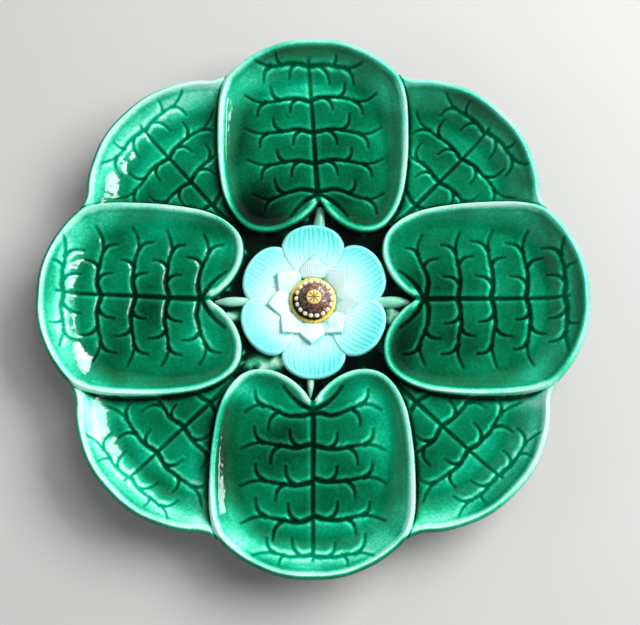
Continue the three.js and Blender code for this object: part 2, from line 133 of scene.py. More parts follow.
def soft_lamp(name, place, width, height, power, colour):
    data = bpy.data.lights.new(name, "AREA")
    data.shape = "RECTANGLE"
    data.size, data.size_y = width, height
    data.energy = power
    data.color = colour
    lamp = bpy.data.objects.new(name, data)
    scene.collection.objects.link(lamp)
    lamp.location = place
    lamp.rotation_euler = (place - lamp_target).to_track_quat("Z", "Y").to_euler()
    return lamp


for lamp_sizes in lighting_lamps:
    soft_lamp(*lamp_sizes, soft_white).visible_glossy = False
print("lamps", len(lighting_lamps))

# %% The window's panes
pane_blue = (0.86, 0.97, 1)
pane_step = Vector((-0.37, 0.93, 0)) * 0.37
panes = [
    soft_lamp(f"window_pane_{k}", window_place + shift * pane_step, 0.38, 0.56, 11.5, pane_blue)
    for k, shift in enumerate((-1, 0, 1, 2))
]
# The steep walls near some crests mirror a lower part of the window.
low_pane = soft_lamp("low_pane", Vector((1.1, 0.26, 0.34)), 0.36, 0.2, 3, pane_blue)
corner_pane = soft_lamp("corner_pane", Vector((0.87, 0.44, 0.5)), 0.55, 0.5, 12, pane_blue)
for pane in panes + [low_pane, corner_pane]:
    pane.visible_diffuse = False
print("panes", len(panes) + 2)

# %% [markdown]
# The sizes are the plate's own, in millimetres. Blank, pads and petals share one dish: its floor climbs a
# little from the flower to the rim, and the wall inside each edge gets wider and taller on the way out.

# %% Sizes of the plate and the shared dish
plate_radius = 114.5
scallop_depth = 9.5
rim_overhang = 1.6
scallop_fullness_share = 0.12
lobe_count = 8
foot_height = 4.5
foot_outer_radius = 60
foot_width = 6
foot_chamfer = 1
body_thickness = 4.5
body_edge_thickness = 2.2
well_radius = 62
pad_thickness = 3
pad_floor_rise = 1.4
lip_inset = 2.2
lip_drop = 2
inner_wall_width = 7
outer_wall_width = 21
wall_curve_power = 1.7
inner_lip_height = 2.2
outer_lip_height = 11.6
lip_rise_power = 2.2
petal_reach = 33
lobe_tuck = 3.5
pad_spread_degrees = 60.3

well_top = foot_height + body_thickness
pad_inner_radius = petal_reach - lobe_tuck
pad_half_length = (plate_radius - pad_inner_radius) / 2
pad_centre = np.array([plate_radius - pad_half_length, 0.0])
pad_half_width = pad_centre[0] * math.tan(math.radians(pad_spread_degrees / 2))
body_lobe_radius = plate_radius - rim_overhang
junction_radius = plate_radius - scallop_depth


def blend(low, high, share):
    return low + (high - low) * share


def eased(value, low, high):
    """0 below the low value, 1 above the high one, and a smooth way between."""
    share = np.clip((value - low) / (high - low), 0, 1)
    return share * share * (3 - 2 * share)


def band(value, start, full, fading, end):
    """1 from full to fading, 0 before the start and past the end."""
    return eased(value, start, full) * (1 - eased(value, fading, end))


def bump_at(value, place, width):
    """1 at the place, and softly down to 0 on both sides."""
    return np.exp(-(((value - place) / width) ** 2))


def dish_height(radius, from_edge):
    out_share = np.clip((radius - pad_inner_radius) / (plate_radius - pad_inner_radius), 0, 1)
    rise = out_share ** lip_rise_power
    lip = blend(inner_lip_height, outer_lip_height, rise)
    width = blend(inner_wall_width, outer_wall_width, rise)
    wall = (1 - np.clip((from_edge - lip_inset) / (width - lip_inset), 0, 1)) ** wall_curve_power
    return well_top + pad_thickness + pad_floor_rise * out_share + lip * wall


def body_top(radius):
    return dish_height(radius, plate_radius - radius) - pad_thickness


print("dish", round(float(dish_height(72, 20)), 2), "rim", round(float(dish_height(112.3, 2.2)), 2), "mm")

# %% [markdown]
# Pads and petals are all leaves: an outline, a middle, and a height that depends on how far a point is from
# the edge. Pulling them out of a subdivided plane by hand would take long, and no two would match, so they
# are measured instead. An outline is a smooth loop through a few mirrored points. A leaf keeps a fine flat
# grid, on which the distance to the edge is found once. Any point of a mesh then reads its height from the
# grid.

# %% Smooth lines
def smooth_line(points, steps, closed):
    """A centripetal spline through the points, with so many steps in each span."""
    points = np.asarray(points, float)
    if closed:
        before, here, after, later = (np.roll(points, -k, axis=0) for k in (-1, 0, 1, 2))
    else:
        ends = np.concatenate([[2 * points[0] - points[1]], points, [2 * points[-1] - points[-2]]])
        before, here, after, later = ends[:-3], ends[1:-2], ends[2:-1], ends[3:]
    gaps = [
        np.sqrt(np.linalg.norm(b - a, axis=1))[:, None]
        for a, b in ((before, here), (here, after), (after, later))
    ]
    first = (here - before) / gaps[0] - (after - before) / (gaps[0] + gaps[1]) + (after - here) / gaps[1]
    last = (after - here) / gaps[1] - (later - here) / (gaps[1] + gaps[2]) + (later - after) / gaps[2]
    p, q, a, b = (part[:, None] for part in (here, after, first * gaps[1], last * gaps[1]))
    t = (np.arange(steps) / steps)[None, :, None]
    line = (p + a * t + (3 * q - 3 * p - 2 * a - b) * t**2 + (2 * p - 2 * q + a + b) * t**3).reshape(-1, 2)
    return line if closed else np.concatenate([line, points[-1:]])


def spaced(loop, count, weight=1.0):
    """So many points round the loop, evenly spaced, or closer where the weight is larger."""
    steps = np.linalg.norm(np.roll(loop, -1, axis=0) - loop, axis=1)
    along = np.concatenate([[0], np.cumsum(steps * weight)])
    wanted = np.linspace(0, along[-1], count, endpoint=False)
    ring = np.concatenate([loop, loop[:1]])
    return np.stack([np.interp(wanted, along, ring[:, k]) for k in (0, 1)], axis=1)


test_loop = np.array([(math.cos(a), math.sin(a)) for a in np.radians([0, 90, 180, 270])])
print("a loop through 4 points has", len(smooth_line(test_loop, 60, True)), "points")

# %% [markdown]
# A leaf is nearly symmetric, so only half of its outline is given. The other half is its mirror image, and a
# bend may follow. Two more helpers serve all outlines. One moves a loop outwards or inwards. The other tells
# which points lie inside it, by comparing a point's distance from the middle with the loop's in the same
# direction.

# %% Outlines of leaves
outline_steps = 60


def leaf_outline(half_points, bend=None):
    """The mirrored half, smoothed, anticlockwise from above."""
    half = np.asarray(half_points, float)
    loop = np.concatenate([half, half[-2:0:-1] * (1, -1)])
    if bend is not None:
        loop = bend(loop)
    return smooth_line(loop, outline_steps, True)[::-1]


def grown(loop, distance):
    along = np.roll(loop, -1, axis=0) - np.roll(loop, 1, axis=0)
    along /= np.linalg.norm(along, axis=1)[:, None]
    return loop + distance * np.stack([along[:, 1], -along[:, 0]], axis=1)


def is_inside(loop, centre, u, v):
    """Inside a loop that shows all of itself to its centre."""
    spokes = loop - centre
    angles = np.arctan2(spokes[:, 1], spokes[:, 0])
    order = np.argsort(angles)
    reach = np.hypot(spokes[:, 0], spokes[:, 1])[order]
    edge = np.interp(np.arctan2(v - centre[1], u - centre[0]), angles[order], reach, period=2 * math.pi)
    return np.hypot(u - centre[0], v - centre[1]) < edge


print("a loop grown by 1 reaches", round(float(grown(test_loop, 1)[:, 0].max()), 2))

# %% [markdown]
# Heights and distances are kept on grids. A value between the grid points is read from the four nearest
# ones, so that surfaces stay smooth. A soft brush blurs a whole grid at once. It works on the grid's waves,
# by a Fourier transform, which costs the same for a fine brush and for a wide one.

# %% Fields on a grid
def read_grid(field, low, spacing, u, v):
    """The field between its grid points, by the four nearest of them."""
    a = np.clip((u - low[0]) / spacing, 0, field.shape[0] - 1.001)
    b = np.clip((v - low[1]) / spacing, 0, field.shape[1] - 1.001)
    i, j = a.astype(int), b.astype(int)
    a, b = a - i, b - j
    near = field[i, j] * (1 - a) + field[i + 1, j] * a
    far = field[i, j + 1] * (1 - a) + field[i + 1, j + 1] * a
    return near * (1 - b) + far * b


def softened(field, radius, spacing):
    """The field under a round soft brush of that radius."""
    rows = np.exp(-2 * (math.pi * radius * np.fft.fftfreq(field.shape[0], spacing)) ** 2)
    columns = np.exp(-2 * (math.pi * radius * np.fft.rfftfreq(field.shape[1], spacing)) ** 2)
    return np.fft.irfft2(np.fft.rfft2(field) * rows[:, None] * columns[None, :], s=field.shape)


print("a soft brush keeps the mean:", round(float(softened(np.eye(8), 1, 1).mean()), 3))

# %% [markdown]
# Now the leaf itself. When it is made, it lays a grid over its outline and measures the distance from each
# grid point to the nearest side of the outline, less than nought outside. That is done once for each leaf,
# and afterwards any ring of mesh points can be lifted to its height at once.

# %% A leaf with its grid
leaf_margin = 2
edge_corner_count = 180


def from_span(start, end, u, v):
    """The way to each point from the nearest place on a straight span, and the share of the span there."""
    side = end - start
    x, y = u - start[0], v - start[1]
    share = np.clip((x * side[0] + y * side[1]) / (side @ side), 0, 1)
    return x - share * side[0], y - share * side[1], share


class Leaf:
    """A flat leaf: its outline, its middle, and a fine grid with each point's distance from the edge."""

    def __init__(self, outline, centre, spacing):
        self.outline, self.centre, self.spacing = outline, np.asarray(centre, float), spacing
        self.low = outline.min(axis=0) - leaf_margin
        spans = [np.arange(self.low[k], outline[:, k].max() + leaf_margin, spacing) for k in (0, 1)]
        self.u, self.v = np.meshgrid(*spans, indexing="ij")
        nearest = np.full(self.u.shape, np.inf)
        corners = spaced(outline, edge_corner_count)
        for start, end in zip(corners, np.roll(corners, -1, axis=0)):
            x, y, _ = from_span(start, end, self.u, self.v)
            nearest = np.minimum(nearest, x**2 + y**2)
        sign = np.where(is_inside(outline, self.centre, self.u, self.v), 1, -1)
        self.from_edge = np.sqrt(nearest) * sign
        self.radius = np.hypot(self.u, self.v)

    def read(self, field, u, v):
        return read_grid(field, self.low, self.spacing, u, v)

    def raised(self, flat, heights):
        """Flat points, lifted to the heights that the grid holds."""
        flat = np.atleast_2d(flat)
        return np.column_stack([flat, self.read(heights, *flat.T)])


print("a leaf's edge is measured from", edge_corner_count, "corners")

# %% [markdown]
# All eight pads have one outline, round at the rim and notched where the stalk joins. The top pad's notch
# sits a little to one side. The four pads behind run on below their neighbours, and so do their outlines,
# which is why the plate's edge is one smooth line: eight lobes with rounded valleys, each bridged by a small
# curved web. Three grids serve all eight pads.

# %% Pad outlines
pad_outline_shares = [
    (-0.69, 0), (-0.78, 0.075), (-0.9, 0.21), (-0.985, 0.39), (-1, 0.56), (-0.955, 0.7), (-0.83, 0.83),
    (-0.62, 0.93), (-0.3, 0.985), (0.06, 1), (0.42, 0.976), (0.62, 0.9), (0.81, 0.68), (0.94, 0.41),
    (0.99, 0.2), (1, 0),
]
# Where a back pad meets its neighbours' rims, the clay bridges the valley with a small curved web.
web_shares = [(0.3, 1.07), (0.46, 1.19), (0.54, 1.157), (0.604, 0.967), (0.66, 0.87), (0.725, 0.8)]
notch_radius = pad_centre[0] + pad_outline_shares[0][0] * pad_half_length
pad_spacing = 0.25


def pad_leaf(shares, notch_shift):
    """notch_shift: how far the notch lies to one side, in millimetres."""
    half = np.array(shares) * (pad_half_length, pad_half_width) + pad_centre

    def bend(loop):
        inwards = np.clip((loop[:, 0] - pad_centre[0]) / (notch_radius - pad_centre[0]), 0, 1)
        loop[:, 1] += notch_shift * inwards * (1 - np.abs(loop[:, 1]) / pad_half_width)
        return loop

    return Leaf(leaf_outline(half, bend), pad_centre, pad_spacing)


straight_leaf = pad_leaf(pad_outline_shares, 0)
top_notch_shift = -3
top_leaf = pad_leaf(pad_outline_shares, top_notch_shift)
back_leaf = pad_leaf(pad_outline_shares[:10] + web_shares + pad_outline_shares[12:], 0)
print("pad grid", straight_leaf.u.shape, "pad", np.ptp(straight_leaf.outline, axis=0).round(1), "mm")

# %% [markdown]
# A modeller cut the veins with a loop tool: one midrib, five side veins on each half, and short hooked twigs
# that leave them, by turns towards the notch and towards the tip. So the veins follow a rule, a few stations
# along the midrib with one shape of side vein and one of twig, and a seeded wander makes each pad a little
# different.

# %% Vein lines of one pad
side_vein = [(0, 0.5), (0.8, 4), (1.3, 8), (1.1, 12), (0.3, 17), (-0.6, 22), (-0.3, 27), (1.6, 32)]
twig = [(0, 0), (1.7, 2.3), (3.9, 3.4), (6.7, 3.7)]
basal_vein = [(46.5, 1), (44.5, 5), (41, 9), (37, 12.2)]
midrib = [(43.5, 0), (60, 0.1), (80, -0.1), (107, 0)]
tip, notch = 1, -1
# Each station: its distance from the plate's middle, how far out its side veins run, how much they lean in
# at their ends, how strongly they wave, and where twigs leave them on the left and on the right, with the
# end of the pad that each twig turns to.
stations = [
    (48.0, 0.88, 2.6, 1, [(14.5, tip), (19.5, notch)], [(14, tip), (20.5, notch)]),
    (61.3, 0.92, 0, 1, [(6.3, notch), (14.5, tip), (20.5, notch)], [(6.5, notch), (13, tip), (20.5, notch)]),
    (75.7, 0.93, 0, 1, [(6, notch), (14, tip), (20.5, notch)], [(6.5, notch), (12.5, tip), (20, notch)]),
    (90.4, 0.9, 0, 1, [(5.8, notch), (13.8, tip), (20, notch)], [(6.3, notch), (11.8, tip), (19, notch)]),
    (105.4, 0.74, 0.9, 0.4, [(5.4, notch), (12, tip), (17, notch)],
     [(5, notch), (10.5, tip), (15.5, notch)]),
]
last_twig_share = 0.5
last_vein_slimness = 0.7
midrib_width = (1.8, 1.1)
side_vein_width = (1.55, 0.7)
twig_width = (1.3, 0.55)
basal_width = (1.6, 0.8)
# How far chance moves a side vein's points, its foot, and a twig's foot, in millimetres, and a twig's size.
vein_wander, foot_wander, twig_wander, twig_size_wander = 0.17, 0.25, 0.4, 0.09
lean_starts, lean_ends = 8, 26


def vein_lines(seed, slant_start, slant_end):
    """Lines with their half widths at both ends, in the pad's own axes."""
    chance = np.random.default_rng(seed)
    lines = [(midrib, midrib_width)]
    for side in (1, -1):
        lines.append(([(u, side * v) for u, v in basal_vein], basal_width))
        for radius, reach, lean, wave, left_twigs, right_twigs in stations:
            wander = chance.normal(0, vein_wander, len(side_vein))
            foot = radius + chance.normal(0, foot_wander)
            stem = [
                (foot + wave * u + jog - lean * eased(v, lean_starts, lean_ends), side * v * reach)
                for (u, v), jog in zip(side_vein, wander)
            ]
            slimness = blend(last_vein_slimness, 1, wave)
            lines.append((stem, [slimness * half for half in side_vein_width]))
            for leaves_at, way in left_twigs if side > 0 else right_twigs:
                start = leaves_at + chance.normal(0, twig_wander)
                foot_u = np.interp(start, [side * v for _, v in stem], [u for u, _ in stem])
                size = 1 + chance.normal(0, twig_size_wander)
                if wave < 1 and way == tip:
                    size *= last_twig_share
                hook = [(foot_u + way * u * size, side * (start + v * size)) for u, v in twig]
                lines.append((hook, [slimness * half for half in twig_width]))

    def slanted(points):
        points = np.array(points, float)
        share = (points[:, 0] - notch_radius) / (plate_radius - notch_radius)
        points[:, 1] += blend(slant_start, slant_end, share)
        return points

    return [(smooth_line(slanted(points), 5, False), widths) for points, widths in lines]


print("veins", len(vein_lines(1, 0, 0)), "on each pad")

# %% [markdown]
# Carving means lowering the height near a vein line. Clay pushed aside by the tool stands up as a soft
# shoulder along the groove, most of all on the side of the notch and of the midrib, and the blade between
# the veins swells. These forms are real height in the mesh, because grooves a millimetre wide show in every
# view. The glaze fills the grooves a little and levels itself, so the clay keeps one height and the glossy
# surface another, softer one.

# %% Carving the veins
vein_depth = 0.95
# A groove's depth and its shoulder's height at the thin end, as shares, and how late the depth falls.
end_depth, end_shoulder, depth_fall_power = 0.35, 0.5, 1.5
groove_floor_share = 0.25
# The shoulder's share on the far side of a vein, and how much the notch's and the midrib's sides count.
far_side_shoulder, notch_side, midrib_side = 0.35, 0.8, 0.6
shoulder_height = 0.45
shoulder_offset = 0.7
shoulder_width = 0.8
blade_swell = 0.4
vein_margin = 4


def vein_distance(leaf, line, window):
    """In the window: distance to the line, share of the way along it, and the way from line to point."""
    u, v = leaf.u[window], leaf.v[window]
    distance = np.full(u.shape, np.inf)
    along, across_u, across_v = np.zeros(u.shape), np.zeros(u.shape), np.zeros(u.shape)
    for k, (start, end) in enumerate(zip(line[:-1], line[1:])):
        x, y, reach = from_span(start, end, u, v)
        far = np.hypot(x, y)
        closer = far < distance
        distance = np.where(closer, far, distance)
        along = np.where(closer, (k + reach) / (len(line) - 1), along)
        across_u, across_v = np.where(closer, x, across_u), np.where(closer, y, across_v)
    return distance, along, across_u, across_v


def carved(leaf, lines, fineness):
    """What the veins add to the leaf's height."""
    groove, shoulder = np.zeros(leaf.u.shape), np.zeros(leaf.u.shape)
    nearest = np.full(leaf.u.shape, float(vein_margin))
    for line, widths in lines:
        first = ((line.min(axis=0) - vein_margin - leaf.low) / leaf.spacing).astype(int).clip(0)
        last = ((line.max(axis=0) + vein_margin - leaf.low) / leaf.spacing).astype(int).clip(0)
        window = (slice(first[0], last[0]), slice(first[1], last[1]))
        distance, along, across_u, across_v = vein_distance(leaf, line, window)
        width = fineness * blend(*widths, along)
        depth = vein_depth * blend(1, end_depth, along**depth_fall_power)
        cut = depth * (1 - eased(distance, groove_floor_share * width, width))
        groove[window] = np.maximum(groove[window], cut)
        length = np.maximum(distance, 0.01)
        facing = -(notch_side * across_u + midrib_side * across_v * np.sign(leaf.v[window])) / length
        strength = blend(far_side_shoulder, 1, np.clip(facing, 0, 1)) * blend(1, end_shoulder, along)
        bulge = bump_at(distance, width + shoulder_offset, shoulder_width)
        shoulder[window] = np.maximum(shoulder[window], shoulder_height * strength * bulge)
        nearest[window] = np.minimum(nearest[window], distance)
    swell = blade_swell * np.sin(0.5 * math.pi * nearest / vein_margin)
    return swell - blade_swell + shoulder * np.clip(1 - 3 * groove / vein_depth, 0, 1) - groove


print("veins reach", vein_depth, "mm down, shoulders", shoulder_height, "mm up")

# %% [markdown]
# Each pad is a dish with a rolled lip. Near the flower the lip is narrow and falls steeply to the ground. At
# the rim it is broad and its wall long. A small rounded bead on the crest and a fine step below it catch the
# light, so they are modelled too.

# %% Dish, lip and bead of a pad
bowl_softness = 6
inner_lip_fall = 4.2
inner_lip_inset = 1.3
# Between these distances from the plate's middle, the narrow lip turns into the broad one.
narrow_lip_until, broad_lip_from = 88, 108
rim_bead_height = 0.35
rim_bead_behind_crest = 0.3
rim_bead_width = 0.6
rim_step = 0.2
rim_step_inset = 3.8
rim_step_width = 0.7


def rimmed(leaf):
    """The dish with its lip, a rounded bead on the crest and a small step inside it."""
    edge = np.maximum(leaf.from_edge, 0)
    # Away from the edge the distance is softened, or the walls would meet in creases like a roof's hips.
    inland = blend(edge, softened(edge, bowl_softness, leaf.spacing), eased(edge, 2.5, 10))
    outer = eased(leaf.radius, narrow_lip_until, broad_lip_from)
    inset = blend(inner_lip_inset, lip_inset, outer)
    lip = -blend(inner_lip_fall, lip_drop, outer) * (1 - np.sqrt(1 - np.maximum(0, 1 - edge / inset) ** 2))
    bead = rim_bead_height * bump_at(edge, inset - rim_bead_behind_crest, rim_bead_width)
    step = rim_step * bump_at(edge, rim_step_inset, rim_step_width)
    return dish_height(leaf.radius, inland) + lip + bead - step


straight_dish, top_dish, back_dish = rimmed(straight_leaf), rimmed(top_leaf), rimmed(back_leaf)
print("dish heights", [round(float(dish.max()), 2) for dish in (straight_dish, top_dish, back_dish)], "mm")

# %% [markdown]
# Every pad gets its own veins from its own seed. The pads behind lie a little lower, and their veins are
# finer. Three heights are kept for each pad: the clay's, by which the glaze finds its hollows, the veins'
# alone, and the glossy surface's, where the glaze has softened the grooves.

# %% The eight pads, carved
back_pad_drop = 0.8
# Name, turn on the plate, leaf, dish, and how far the midrib lies aside at its foot and at its tip.
front_pads = [
    ("lily_pad_right", 0, straight_leaf, straight_dish, 0.3, 0.4),
    ("lily_pad_top", 90, top_leaf, top_dish, -2.5, 2.5),
    ("lily_pad_left", 180, straight_leaf, straight_dish, -0.4, -3.3),
    ("lily_pad_bottom", 270, straight_leaf, straight_dish, 0.2, 0.4),
]
back_pads = [
    ("back_pad_upper_right", 45, back_leaf, back_dish, -2.4, -1.0),
    ("back_pad_upper_left", 135, back_leaf, back_dish, 1.5, -1.5),
    ("back_pad_lower_left", 225, back_leaf, back_dish, 1.0, 0.0),
    ("back_pad_lower_right", 315, back_leaf, back_dish, -1.0, 1.5),
]
glaze_levelling = 0.6
groove_left_open = 0.95
back_vein_fineness = 0.86
clay_heights, pad_heights, vein_heights = {}, {}, {}
for seed, (name, degrees, leaf, dish, slant_start, slant_end) in enumerate(front_pads + back_pads):
    behind = name.startswith("back")
    level = dish - (back_pad_drop if behind else 0)
    veins = carved(leaf, vein_lines(seed, slant_start, slant_end), back_vein_fineness if behind else 1)
    clay_heights[name] = level + veins
    vein_heights[name] = veins
    pad_heights[name] = level + groove_left_open * softened(veins, glaze_levelling, pad_spacing)
print("carved", len(pad_heights), "pads, top at", round(max(h.max() for h in pad_heights.values()), 2), "mm")

# %% [markdown]
# A front pad shows all of itself. A back pad shows what the front pads leave free, so it is asked point by
# point whether it covers a place.

# %% What each pad covers
back_pad_start = 47


def turned_in(x, y, degrees):
    """Plate coordinates seen from a pad turned by so many degrees."""
    c, s = math.cos(math.radians(degrees)), math.sin(math.radians(degrees))
    return x * c + y * s, y * c - x * s


def to_plate(points, degrees):
    u, v = turned_in(points[:, 0], points[:, 1], -degrees)
    return np.stack([u, v, *points.T[2:]], axis=1)


def back_pad_covers(x, y, degrees, leaf):
    """True where a back pad shows."""
    u, v = turned_in(x, y, degrees)
    shown = is_inside(leaf.outline, leaf.centre, u, v) & (u > back_pad_start)
    for _, front_degrees, front_leaf, *_ in front_pads:
        a, b = turned_in(x, y, front_degrees)
        shown &= ~is_inside(front_leaf.outline, front_leaf.centre, a, b)
    return shown


sample = back_pad_covers(np.array([98.0, 30.0]), np.zeros(2), 45, back_leaf)
print("upper right pad covers the plate's right side:", sample.tolist())

# %% [markdown]
# The flower's petals are leaves too. Fine lines run along them, closest together at the heart. They are cut
# into the height, not painted on, because the glaze later reads the height to find out where it gathers.
# Three petals lie over the other three.

# %% Petal leaves and their heights
collar_radius = 10.1
petal_base = 10.4
petal_width = 26.5
petal_lip_height = 3.8
petal_heart_height = 1.4
petal_lip_inset = 1.2
petal_lip_drop = 1
petal_half_shares = np.array([
    (0, 0), (0, 0.34), (0.22, 0.74), (0.45, 0.97), (0.64, 1), (0.84, 0.79), (0.96, 0.43), (1, 0),
])
petal_lip_at_heart = 0.45
petal_crown = 0.7
petal_line_count = 12.5
petal_line_depth = 0.15
petal_line_stray = 0.3
petal_overlap = 0.55
petal_spacing = 0.125
# Name, turn on the plate, how much longer than the others, and whether it lies over its neighbours.
outer_petals = [
    ("outer_petal_upper_right", 30, 0.4, False),
    ("outer_petal_upper_left", 150, -1.2, False),
    ("outer_petal_bottom", 271, 1, False),
    ("outer_petal_top", 90, 0, True),
    ("outer_petal_lower_left", 209, -0.8, True),
    ("outer_petal_lower_right", 330, 0, True),
]
petal_leaves, petal_heights = {}, {}


def petal_height(leaf, reach, above):
    """A petal's surface: rising outwards, with a crown, a soft edge, and lines that fan out."""
    out = np.clip((leaf.radius - petal_base) / (reach - petal_base), 0, 1)
    edge = np.maximum(leaf.from_edge, 0)
    lip = petal_lip_drop * np.maximum(0, 1 - edge / petal_lip_inset) ** 2 * blend(petal_lip_at_heart, 1, out)
    fan = petal_width / 2 * blend(0.3, 1, eased(out, -0.25, 0.62)) * blend(1, 0.93, eased(out, 0.7, 1))
    stray = petal_line_stray * np.sin(0.3 * leaf.u + 1.7 * np.sin(0.8 * leaf.v + reach))
    lines = 0.5 + 0.5 * np.cos(math.pi * petal_line_count * (leaf.v + stray) / fan)
    fade = eased(leaf.from_edge, 0.3, 2.2) * blend(0.6, 1, out)
    crown = petal_crown * (1 - (leaf.v / (petal_width / 2)) ** 2)
    lift = petal_overlap if above else 0
    height = well_top + blend(petal_heart_height, petal_lip_height - petal_crown, out) + crown * out
    return height - lip + lift - petal_line_depth * lines**2 * fade


for name, degrees, longer, above in outer_petals:
    reach = petal_reach + longer
    half = petal_half_shares * (reach - petal_base, petal_width / 2) + (petal_base, 0)
    leaf = Leaf(leaf_outline(half), ((petal_base + reach) / 2, 0), petal_spacing)
    petal_leaves[name] = leaf
    petal_heights[name] = petal_height(leaf, reach, above)
print("outer petals", len(petal_leaves), "grid", leaf.u.shape)

# %% [markdown]
# Eight pointed white petals lie on top of the turquoise ones, and tilt up to their tips. The modeller set
# them by eye, so their turns are listed one by one. One leaf serves all eight.

# %% The pointed inner petals
inner_petal_reach = 19
inner_petal_width = 12.4
inner_petal_base_height = 2.05
inner_petal_tip_height = 4.7
inner_petal_middle = (13.2, 0)
inner_crown = 0.5
inner_lip_drop = 0.5
inner_line_depth, inner_line_pace = 0.1, 3.4
inner_petal_half_shares = np.array([
    (0, 0), (0, 0.82), (0.23, 1), (0.46, 0.9), (0.7, 0.55), (0.88, 0.22), (1, 0),
])
inner_petal_degrees = [88.5, 43, -3, -49, -91.5, -132, -174.5, -217]
inner_petal_base = 9.8
inner_half = inner_petal_half_shares * (inner_petal_reach - inner_petal_base, inner_petal_width / 2)
inner_half += (inner_petal_base, 0)
inner_leaf = Leaf(leaf_outline(inner_half), inner_petal_middle, petal_spacing)
inner_out = np.clip((inner_leaf.u - inner_petal_base) / (inner_petal_reach - inner_petal_base), 0, 1)
inner_across = np.abs(inner_leaf.v) / (inner_petal_width / 2)
inner_heights = (
    well_top + blend(inner_petal_base_height, inner_petal_tip_height, inner_out**0.75)
    - inner_crown * inner_across**2
    - inner_lip_drop * np.maximum(0, 1 - np.maximum(inner_leaf.from_edge, 0) / 0.7) ** 2
    - inner_line_depth * np.cos(inner_leaf.v * inner_line_pace) ** 2 * eased(inner_leaf.from_edge, 0.4, 1.4)
)
print("inner petals", len(inner_petal_degrees))

# %% [markdown]
# A lead glaze runs while it melts: it leaves edges and crests thin and pale, and gathers in grooves and at
# the foot of every wall, where it looks almost black. Painting that by hand would take hundreds of strokes,
# so it is measured from the relief. For that, the whole relief is first laid on one square grid, form by
# form, in the order in which the forms cover each other on the plate.

# %% The pads on one grid
plate_spacing = 0.25
plate_margin = 120
far_inside = 20.0
plate_low = np.array([-plate_margin, -plate_margin], float)
plate_line = np.arange(-plate_margin, plate_margin, plate_spacing)
plate_x, plate_y = np.meshgrid(plate_line, plate_line, indexing="ij")
plate_r = np.hypot(plate_x, plate_y)
relief = body_top(plate_r)
carving, on_back_pad = np.zeros(relief.shape), np.zeros(relief.shape)
# How far a place on a front pad lies from the pad's edge.
from_rim = np.full(relief.shape, far_inside)


def lay(height, shown, layer=relief):
    """Puts one form's height on the layer, where the form shows."""
    layer[shown] = height[shown]


for name, degrees, leaf, *_ in back_pads + front_pads:
    u, v = turned_in(plate_x, plate_y, degrees)
    if name.startswith("back"):
        shown = back_pad_covers(plate_x, plate_y, degrees, leaf)
    else:
        shown = is_inside(leaf.outline, leaf.centre, u, v)
        lay(leaf.read(leaf.from_edge, u, v), shown, from_rim)
    lay(leaf.read(clay_heights[name], u, v), shown)
    lay(leaf.read(vein_heights[name], u, v), shown, carving)
    on_back_pad[shown] = name.startswith("back")
on_plate = relief > body_top(plate_r) + 0.5
print("relief", relief.shape, "pads on", round(float(on_plate.mean()), 2), "of it")

# %% [markdown]
# The flower goes on the same grid, petal by petal. A later petal covers an earlier one, and the pointed ones
# count only where they are higher than what is there. Outside the plate the grid drops, so that the rim
# counts as a crest, and its glaze comes out thin.

# %% The flower and the outside on the grid
outside_drop = 4
in_flower = plate_r < collar_radius
for name, degrees, *_ in outer_petals:
    u, v = turned_in(plate_x, plate_y, degrees)
    leaf = petal_leaves[name]
    shown = is_inside(leaf.outline, leaf.centre, u, v)
    lay(leaf.read(petal_heights[name], u, v), shown)
    in_flower |= shown
for degrees in inner_petal_degrees:
    u, v = turned_in(plate_x, plate_y, degrees)
    height = np.maximum(inner_leaf.read(inner_heights, u, v), relief)
    lay(height, is_inside(inner_leaf.outline, inner_leaf.centre, u, v))
lay(np.full(plate_r.shape, well_top + 2.3), plate_r < collar_radius)
outside = (plate_r > 100) & ~on_plate
rim_top = dish_height(plate_radius, 0)
lay(body_top(plate_r) + pad_thickness - outside_drop, outside & (plate_r < plate_radius))
lay(np.full(plate_r.shape, rim_top - outside_drop), outside & (plate_r >= plate_radius))
print("relief from", round(relief.min(), 2), "to", round(relief.max(), 2), "mm")

# %% [markdown]
# Now the grid is compared with softened copies of itself. Where the soft copy is higher, there is a hollow,
# and the glaze is thick. Where it is lower, there is a crest, and the glaze is thin. Brushes of several
# sizes find the grooves, the walls' feet and the wide bowls in turn.

# %% Thick in hollows, thin on crests
even_thickness = 0.5
# Each brush: its radius, the share that runs off crests, and the share that gathers in hollows.
brushes = [(0.6, 0.34, 0.36), (1.3, 0.34, 0.32), (6, 0.02, 0.02), (13, 0.0, 0.045)]
# Below the pooling level the glaze is thicker, by this much for each millimetre.
pooling, pooling_level, pooling_radius = 0.006, 12.5, 2.5
glaze = np.full(relief.shape, even_thickness)
for radius, from_crests, into_hollows in brushes:
    hollow = softened(relief, radius, plate_spacing) - relief
    glaze += np.where(hollow > 0, into_hollows, from_crests) * hollow
glaze += pooling * (pooling_level - softened(relief, pooling_radius, plate_spacing))
print("glaze by relief", np.percentile(glaze[on_plate], [2, 50, 98]).round(2))

# %% [markdown]
# Some places don't follow that rule. The veins' grooves stay a little see-through, most of all near the rim.
# The tall walls at the rim and the valleys between the lobes lost some glaze. Towards the flower, the flank
# outside a front pad's crest is darkened as a dark line, partly glaze that stayed thick and partly painted
# shade on the steep outer fall, and the glaze is thinner again just inside it.

# %% Grooves, walls and lips
groove_thickness = 0.14
groove_limit, rim_groove_limit = 0.77, 0.56
rim_groove_share = 0.3
wall_thinness = 0.17
valley_thinness = 0.4
valley_place = 102.5
flank_glaze_and_shade = 0.4
inner_wall_thinness = 0.08
inner_wall_place, inner_wall_spread = 3.2, 1.5
back_pad_thinness = 0.09
